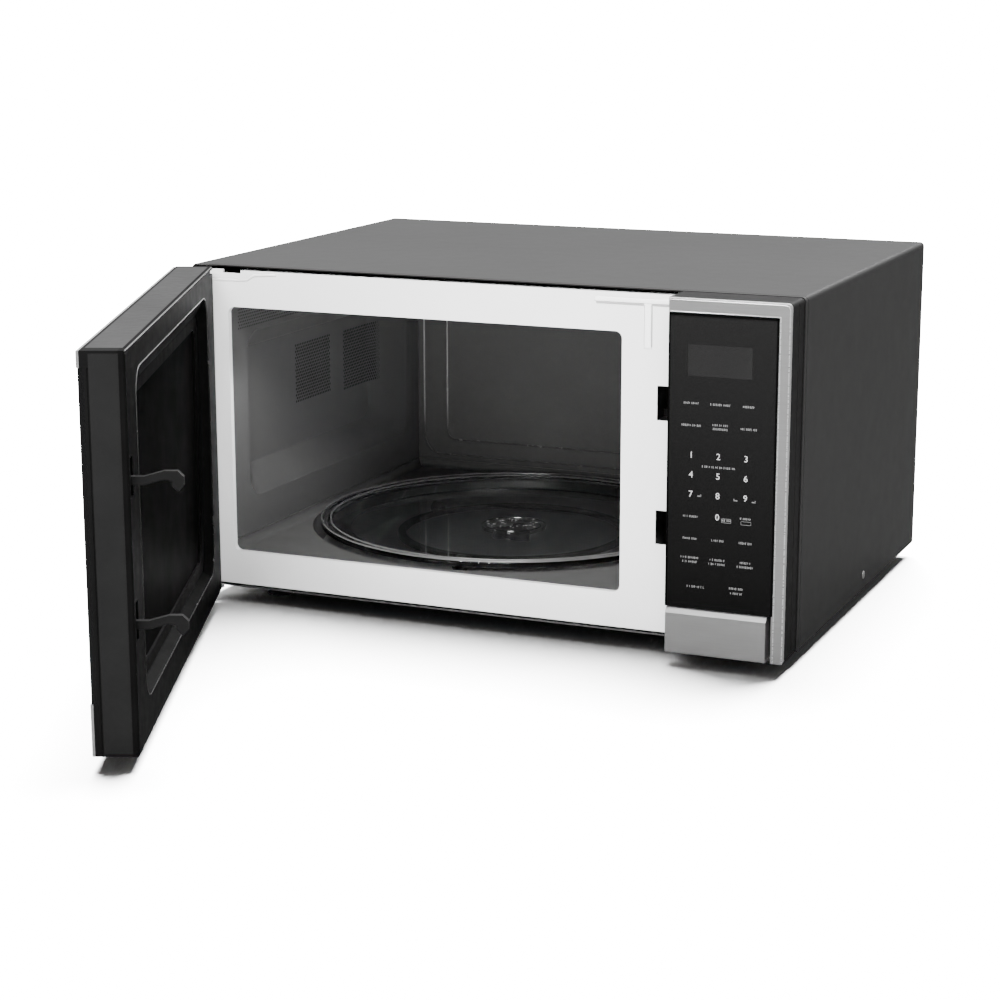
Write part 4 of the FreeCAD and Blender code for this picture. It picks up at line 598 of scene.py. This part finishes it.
def make_labels(finishes):
    """Rows of small plain ticks that stand for the words beside the keys."""
    left, middle, right = KEY_COLUMNS
    labels = [(left, 204.3, 14), (middle + 1, 204.3, 17), (right + 1.5, 204.3, 10),
              (left, 186.5, 17), (middle + 1, 188.0, 13), (middle + 1, 184.8, 12),
              (right + 1.5, 186.5, 13), (middle, 154, 27), (left, 112.6, 12),
              (middle + 7.5, 111.6, 7), (right + 1, 114.4, 10), (left, 94.5, 12),
              (middle + 0.5, 94.5, 10), (right + 1, 94.5, 11), (left, 78.8, 15),
              (left, 75.4, 12), (middle + 1, 78.6, 13), (middle + 1, 75.2, 15),
              (right + 1.2, 78.4, 9), (right + 1.2, 75.0, 14), (left + 5.6, 55, 15),
              (right - 5.8, 56.6, 12), (right - 5.8, 52.6, 10)]
    dice = random.Random(7)
    bm = bmesh.new()
    for x, z, width in labels:
        cursor = x - width / 2
        while cursor < x + width / 2 - 0.5:
            wide = dice.choice((0.5, 0.7, 0.8, 1.0))
            high = dice.choice((0.7, 0.85, 0.85, 0.95))
            end = cursor + wide
            slab(bm, panel_point, cursor, z - high, end, z + high, 0.0, TICK_PROUD)
            if dice.random() < 0.5:
                bar = dice.choice((-high, -0.15, high - 0.35))
                slab(bm, panel_point, end, z + bar, end + 0.5, z + bar + 0.35, 0.0, TICK_PROUD)
            cursor += wide + dice.choice((0.5, 0.5, 0.6, 1.4))
    frames = ((middle + 7.5, 111.4, 8.2, 3.6), (right + 1, 110.8, 8.6, 3.0))
    for x, z, wide, high in frames:
        outline(bm, x - wide / 2, z - high / 2, x + wide / 2, z + high / 2, 0.35)
    for x, z, lean in ((left + 7.2, 129.6, 1), (right - 8.0, 128.6, -1), (right + 7.0, 128.4, 1)):
        slab(bm, panel_point, x - 1.6, z - 0.5, x + 1.6, z + 0.45, 0.0, TICK_PROUD)
        slab(bm, panel_point, x + lean * 0.8, z, x + lean * 1.7, z + 1.3, 0.0, TICK_PROUD)
    piece("panel_labels", to_mesh("panel_labels", bm), finishes["faint_ink"], "cabinet")


def outline(bm, left, low, right, high, line):
    """A thin rectangle drawn as four bars."""
    for a, b, c, e in ((left, low, right, low + line), (left, high - line, right, high),
                       (left, low, left + line, high), (right - line, low, right, high)):
        slab(bm, panel_point, a, b, c, e, 0.0, TICK_PROUD)


def make_perforations(finishes):
    """Fields of small vent holes in the cavity's left wall; the rear one runs up the recess's slope."""
    fields = {"front": (145, 142, 214, 197, 3.4), "rear": (243, 138, 316, 196, 3.4),
              "top": (22, 229, 142, 246, 3.2)}
    for name, (start, low, end, high, pitch) in fields.items():
        bm = bmesh.new()
        rows = int((high - low) / (pitch * 0.866))
        for row in range(rows + 1):
            y = start + (pitch / 2 if row % 2 else 0)
            while y <= end:
                add_hole(bm, y, low + row * pitch * 0.866, 0.7 if name == "top" else 1.0)
                y += pitch
        mesh = to_mesh(f"wall_holes_{name}", bm)
        piece(f"wall_holes_{name}", mesh, finishes["hole"], "cabinet")


def left_wall_plane(y, z):
    """How far right the cavity's left wall is: flat, or sunk in its pressed recess."""
    if z > 225:
        return 32.0
    return 22.0 + max(0.0, y - 294) * 10 / 72


def add_hole(bm, y, z, radius):
    """A dark round spot with a low rim, facing into the cavity."""
    rings = []
    for reach, proud in ((1.2, 0.02), (1.0, 0.1), (0.8, 0.03)):
        ring = []
        for step in range(HOLE_STEPS):
            turn = 2 * math.pi * step / HOLE_STEPS
            across, up = (radius * reach * f(turn) for f in (math.cos, math.sin))
            ring.append(bm.verts.new(cabinet(left_wall_plane(y + across, z) + proud, y + across, z + up)))
        rings.append(ring)
    for outer, inner in zip(rings, rings[1:]):
        join_rings(bm, outer, inner)
    bm.faces.new(rings[-1])


def bead(name, points, radius, finish, body, closed=False):
    """A thin round bead along a line of points in metres."""
    curve = bpy.data.curves.new(name, "CURVE")
    curve.dimensions = "3D"
    curve.bevel_depth = radius * MM
    curve.bevel_resolution = 2
    curve.use_fill_caps = True
    line = curve.splines.new("POLY")
    line.points.add(len(points) - 1)
    line.use_cyclic_u = closed
    for place, point in zip(line.points, points):
        place.co = (*point, 1)
    thing = bpy.data.objects.new(name + "_line", curve)
    mesh = bpy.data.meshes.new_from_object(thing)
    bpy.data.objects.remove(thing)
    for face in mesh.polygons:
        face.use_smooth = True
    return piece(name, mesh, finish, body)


def flatten(thing, plane, share):
    """Presses a bead flat against the front plate, to a share of its depth."""
    level = cabinet(0, plane, 0).y
    for vertex in thing.data.vertices:
        vertex.co.y = level + (vertex.co.y - cabinet(0, 0, 0).y) * share


def round_frame(left, low, right, high, radius):
    """Points of a rectangle with rounded corners, as pairs."""
    corners = ((right - radius, low + radius, -90), (right - radius, high - radius, 0),
               (left + radius, high - radius, 90), (left + radius, low + radius, 180))
    points = []
    for x, z, start in corners:
        for step in range(BEAD_STEPS + 1):
            turn = math.radians(start + 90 * step / BEAD_STEPS)
            points.append((x + radius * math.cos(turn), z + radius * math.sin(turn)))
    return points


def make_beads(finishes):
    """Pressed lines on the front plate, the back wall and the door; their lighter finishes are painted highlights,
    and the grey lines under and beside the T ridge are painted shade.
    """
    jog = [(20, 275), (54, 275.8), (61.5, 280.4), (83, 281.6)]
    bead("plate_bead", [cabinet(x, -0.15, z) for x, z in jog], 1.1, finishes["plate_paint"],
         "cabinet")
    # the T ridge gets a whiter enamel than the plate, a painted highlight
    for name, path, wide in (("plate_tee_bar", ((376, 277.9), (447, 277.9)), 2.1),
                             ("plate_tee_stem", ((421.5, 240.4), (421.5, 275)), 3.2)):
        thing = bead(name, [cabinet(x, 0, z) for x, z in path], wide, finishes["ridge_painted_highlight"],
                     "cabinet")
        flatten(thing, -0.7, 0.55 / wide)
    # grey lines painted as the shade under the T ridge's bar and on the right of its stem
    for name, path in (("plate_tee_shade_bar", ((377, 274.9), (417.6, 274.9))),
                       ("plate_tee_shade_stem", ((424.6, 240.8), (424.6, 274.9), (446, 274.9)))):
        thing = bead(name, [cabinet(x, 0, z) for x, z in path], 0.8, finishes["painted_shade_line"],
                     "cabinet")
        flatten(thing, -0.55, 0.4)
    # the back wall's beads carry painted highlights, lighter higher up
    frames = {"back_wall_bead_outer": (39.6, 47.6, 400.4, 242.4, 20, 390.0),
              "back_wall_bead_inner": (66.6, 64.6, 373.4, 225.4, 9, 387.7)}
    for name, (left, low, right, high, radius, y) in frames.items():
        bead(name, [cabinet(x, y, z) for x, z in round_frame(left, low, right, high, radius)], 1.0,
             finishes["painted_highlight_enamel"], "cabinet", True)
    # the door's beads carry painted highlights, lighter towards the top
    rim = round_frame(34.9, 26.5, 403.1, 268.0, 20)
    bead("door_recess_bead", [door(x, 20.7, z) for x, z in rim], 0.55, finishes["painted_highlight_edge"],
         "door", True)
    bead("door_top_bead", [door(x, 20.1, 286.6) for x in (-4, 438)], 0.6, finishes["painted_highlight_edge"],
         "door")


def make_trim_edge_highlights(finishes):
    """Rolled edges of the silver frame round the key panel, in a lighter silver as painted highlights."""
    outer = [(451.8, 285.8), (546.2, 285.8), (548.8, 284.9), (549.7, 282.4), (549.7, -1.2)]
    inner = [(451.8, 276.5), (542.2, 276.5), (542.2, -1.2)]
    for name, path in (("trim_edge_outer", outer), ("trim_edge_inner", inner)):
        bead(name, [cabinet(x, TRIM_FACE, z) for x, z in path], 0.5, finishes["painted_highlight_silver"],
             "cabinet")


def make_tray_rim_highlights(finishes):
    """Grey rings on the two rounded edges of the tray's rim, painted as their highlights."""
    low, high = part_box("glass_tray")
    middle = (low + high) / 2
    for name, radius, up in (("tray_rim_outer", 179.0, 40.2), ("tray_rim_inner", 170.6, 39.6)):
        ring = []
        for step in range(RING_STEPS):
            turn = 2 * math.pi * step / RING_STEPS
            ring.append((middle.x + radius * MM * math.cos(turn),
                         middle.y + radius * MM * math.sin(turn), CORNER.z + up * MM))
        bead(name, ring, 0.9, finishes["rim_painted_highlight"], "turntable", True)


def make_door_inserts(finishes):
    """Lighter textured faces on the door's top and free edge, between dark borders."""
    bm = bmesh.new()
    slab(bm, door, 0, 287.42, 430, 287.62, -8.4, 17.6)
    piece("door_top_face", to_mesh("door_top_face", bm), finishes["top_grey"], "door")
    bm = bmesh.new()
    slab(bm, door, DOOR_EDGE - 0.9, 0, DOOR_EDGE + 0.15, 285.5, -4.3, 16.2)
    piece("door_edge_face", to_mesh("door_edge_face", bm), finishes["edge_grey"], "door")


def make_panel_gap(finishes):
    """Dark strips painted as the shade in the gaps round the key panel, above it and on both its sides."""
    bm = bmesh.new()
    left = (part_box("control_overlay")[0].x - CORNER.x) / MM
    for start, low, end in ((451.6, 273.6, PANEL_RIGHT), (539.6, PANEL_LOW, PANEL_RIGHT),
                            (left + 0.1, PANEL_LOW, left + 1.1)):
        slab(bm, cabinet, start, low, end, PANEL_HIGH, GAP_BACK, GAP_FRONT)
    piece("panel_gap", to_mesh("panel_gap", bm), finishes["gap"], "cabinet")


def make_tray_marks(finishes):
    """Small pressed ticks, loosely scattered round the middle of the glass tray."""
    low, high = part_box("glass_tray")
    middle = (low + high) / 2
    top = CORNER.z + 31.2 * MM
    dice = random.Random(3)
    bm = bmesh.new()
    for step in range(30):
        turn = 2 * math.pi * step / 30 + dice.uniform(-0.2, 0.2)
        spoke = Matrix.Translation((middle.x, middle.y, top)) @ Matrix.Rotation(turn, 4, "Z")
        radius = dice.uniform(7, 27)
        wide, long = dice.choice((0.4, 0.6, 0.8)), dice.choice((0.5, 0.9, 1.3))

        def place(x, y, z):
            return spoke @ (Vector((x, y, z)) * MM)

        slab(bm, place, radius - long, 0, radius + long, 0.45, -wide, wide)
    thing = piece("tray_ticks", to_mesh("tray_ticks", bm), finishes["frosted"], "turntable")
    bevel(thing, 0.2)


def bevel(thing, width):
    """Rounds the sharp edges of a piece."""
    made = thing.modifiers.new("soft_edges", "BEVEL")
    made.width = width * MM
    made.segments = 2
    made.limit_method = "ANGLE"
    made.angle_limit = math.radians(SHARP_ANGLE)
    made.harden_normals = False


def make_latch_coil(finishes):
    """The latch's spring, as a wound coil of wire in place of the plain part."""
    low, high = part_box("latch_spring")
    middle = (low + high) / 2
    wire, turns, steps = 0.5 * MM, 6, 24
    radius = (high.x - low.x) / 2 - wire
    tall = high.z - low.z
    line = []
    for step in range(turns * steps + 1):
        turn = 2 * math.pi * step / steps
        rise = (tall - wire * 2) * step / (turns * steps)
        line.append((middle.x + radius * math.cos(turn), middle.y + radius * math.sin(turn),
                     low.z + wire + rise))
    coil = bead("latch_coil", line, 0.5, finishes["screw_steel"], "door")
    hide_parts("latch_spring")
    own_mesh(coil)


def make_screw_heads(finishes):
    """Domed heads with a cross recess, in place of the plain ones."""
    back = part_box("rear_panel")[1].y
    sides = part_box("outer_cover")
    rear = [(12, 272), (276, 277), (540, 272), (12, 14), (276, 10), (540, 14)]
    bm = bmesh.new()
    for x, z in rear:
        point = cabinet(x, 0, z)
        add_screw(bm, Matrix.Translation((point.x, back, point.z)) @ Matrix.Rotation(-math.pi / 2, 4, "X"))
    for x, turn in ((sides[0].x, -math.pi / 2), (sides[1].x, math.pi / 2)):
        point = cabinet(0, *SIDE_SCREW)
        add_screw(bm, Matrix.Translation((x, point.y, point.z)) @ Matrix.Rotation(turn, 4, "Y"), 0.62)
    thing = piece("cover_screw_heads", to_mesh("cover_screw_heads", bm, True),
                  finishes["screw_steel"], "cabinet")
    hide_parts("cover_screws")


def add_screw(bm, frame_of, tall=1.0):
    """One pan head, 7.2 mm wide, that points along +Z of its frame."""
    profile = [(3.6, 0.0), (3.6, 0.5), (3.3, 1.0), (2.6, 1.35), (1.9, 1.5), (1.2, 1.55)]
    rings = []
    for radius, height in profile:
        ring = []
        for step in range(SCREW_STEPS):
            turn = 2 * math.pi * step / SCREW_STEPS
            arm = abs(math.sin(2 * turn)) < 0.42 and radius < 2.0
            drop = 0.9 if arm else 0.0
            spot = Vector((radius * math.cos(turn), radius * math.sin(turn), (height - drop) * tall)) * MM
            ring.append(bm.verts.new(frame_of @ spot))
        rings.append(ring)
    for outer, inner in zip(rings, rings[1:]):
        join_rings(bm, outer, inner)
    centre = bm.verts.new(frame_of @ (Vector((0, 0, 0.5 * tall)) * MM))
    for i in range(SCREW_STEPS):
        bm.faces.new((rings[-1][i], rings[-1][(i + 1) % SCREW_STEPS], centre))


def build():
    """The whole scene."""
    make_camera()
    make_studio()
    finishes = make_materials()
    paint_nodes(finishes)
    for make in (make_digits, make_labels, make_perforations, make_beads, make_door_inserts,
                 make_trim_edge_highlights, make_tray_rim_highlights, make_panel_gap, make_tray_marks,
                 make_screw_heads, make_latch_coil):
        make(finishes)
    for name, width in SOFT_EDGES.items():
        bevel(frame["nodes"][name], width)


build()
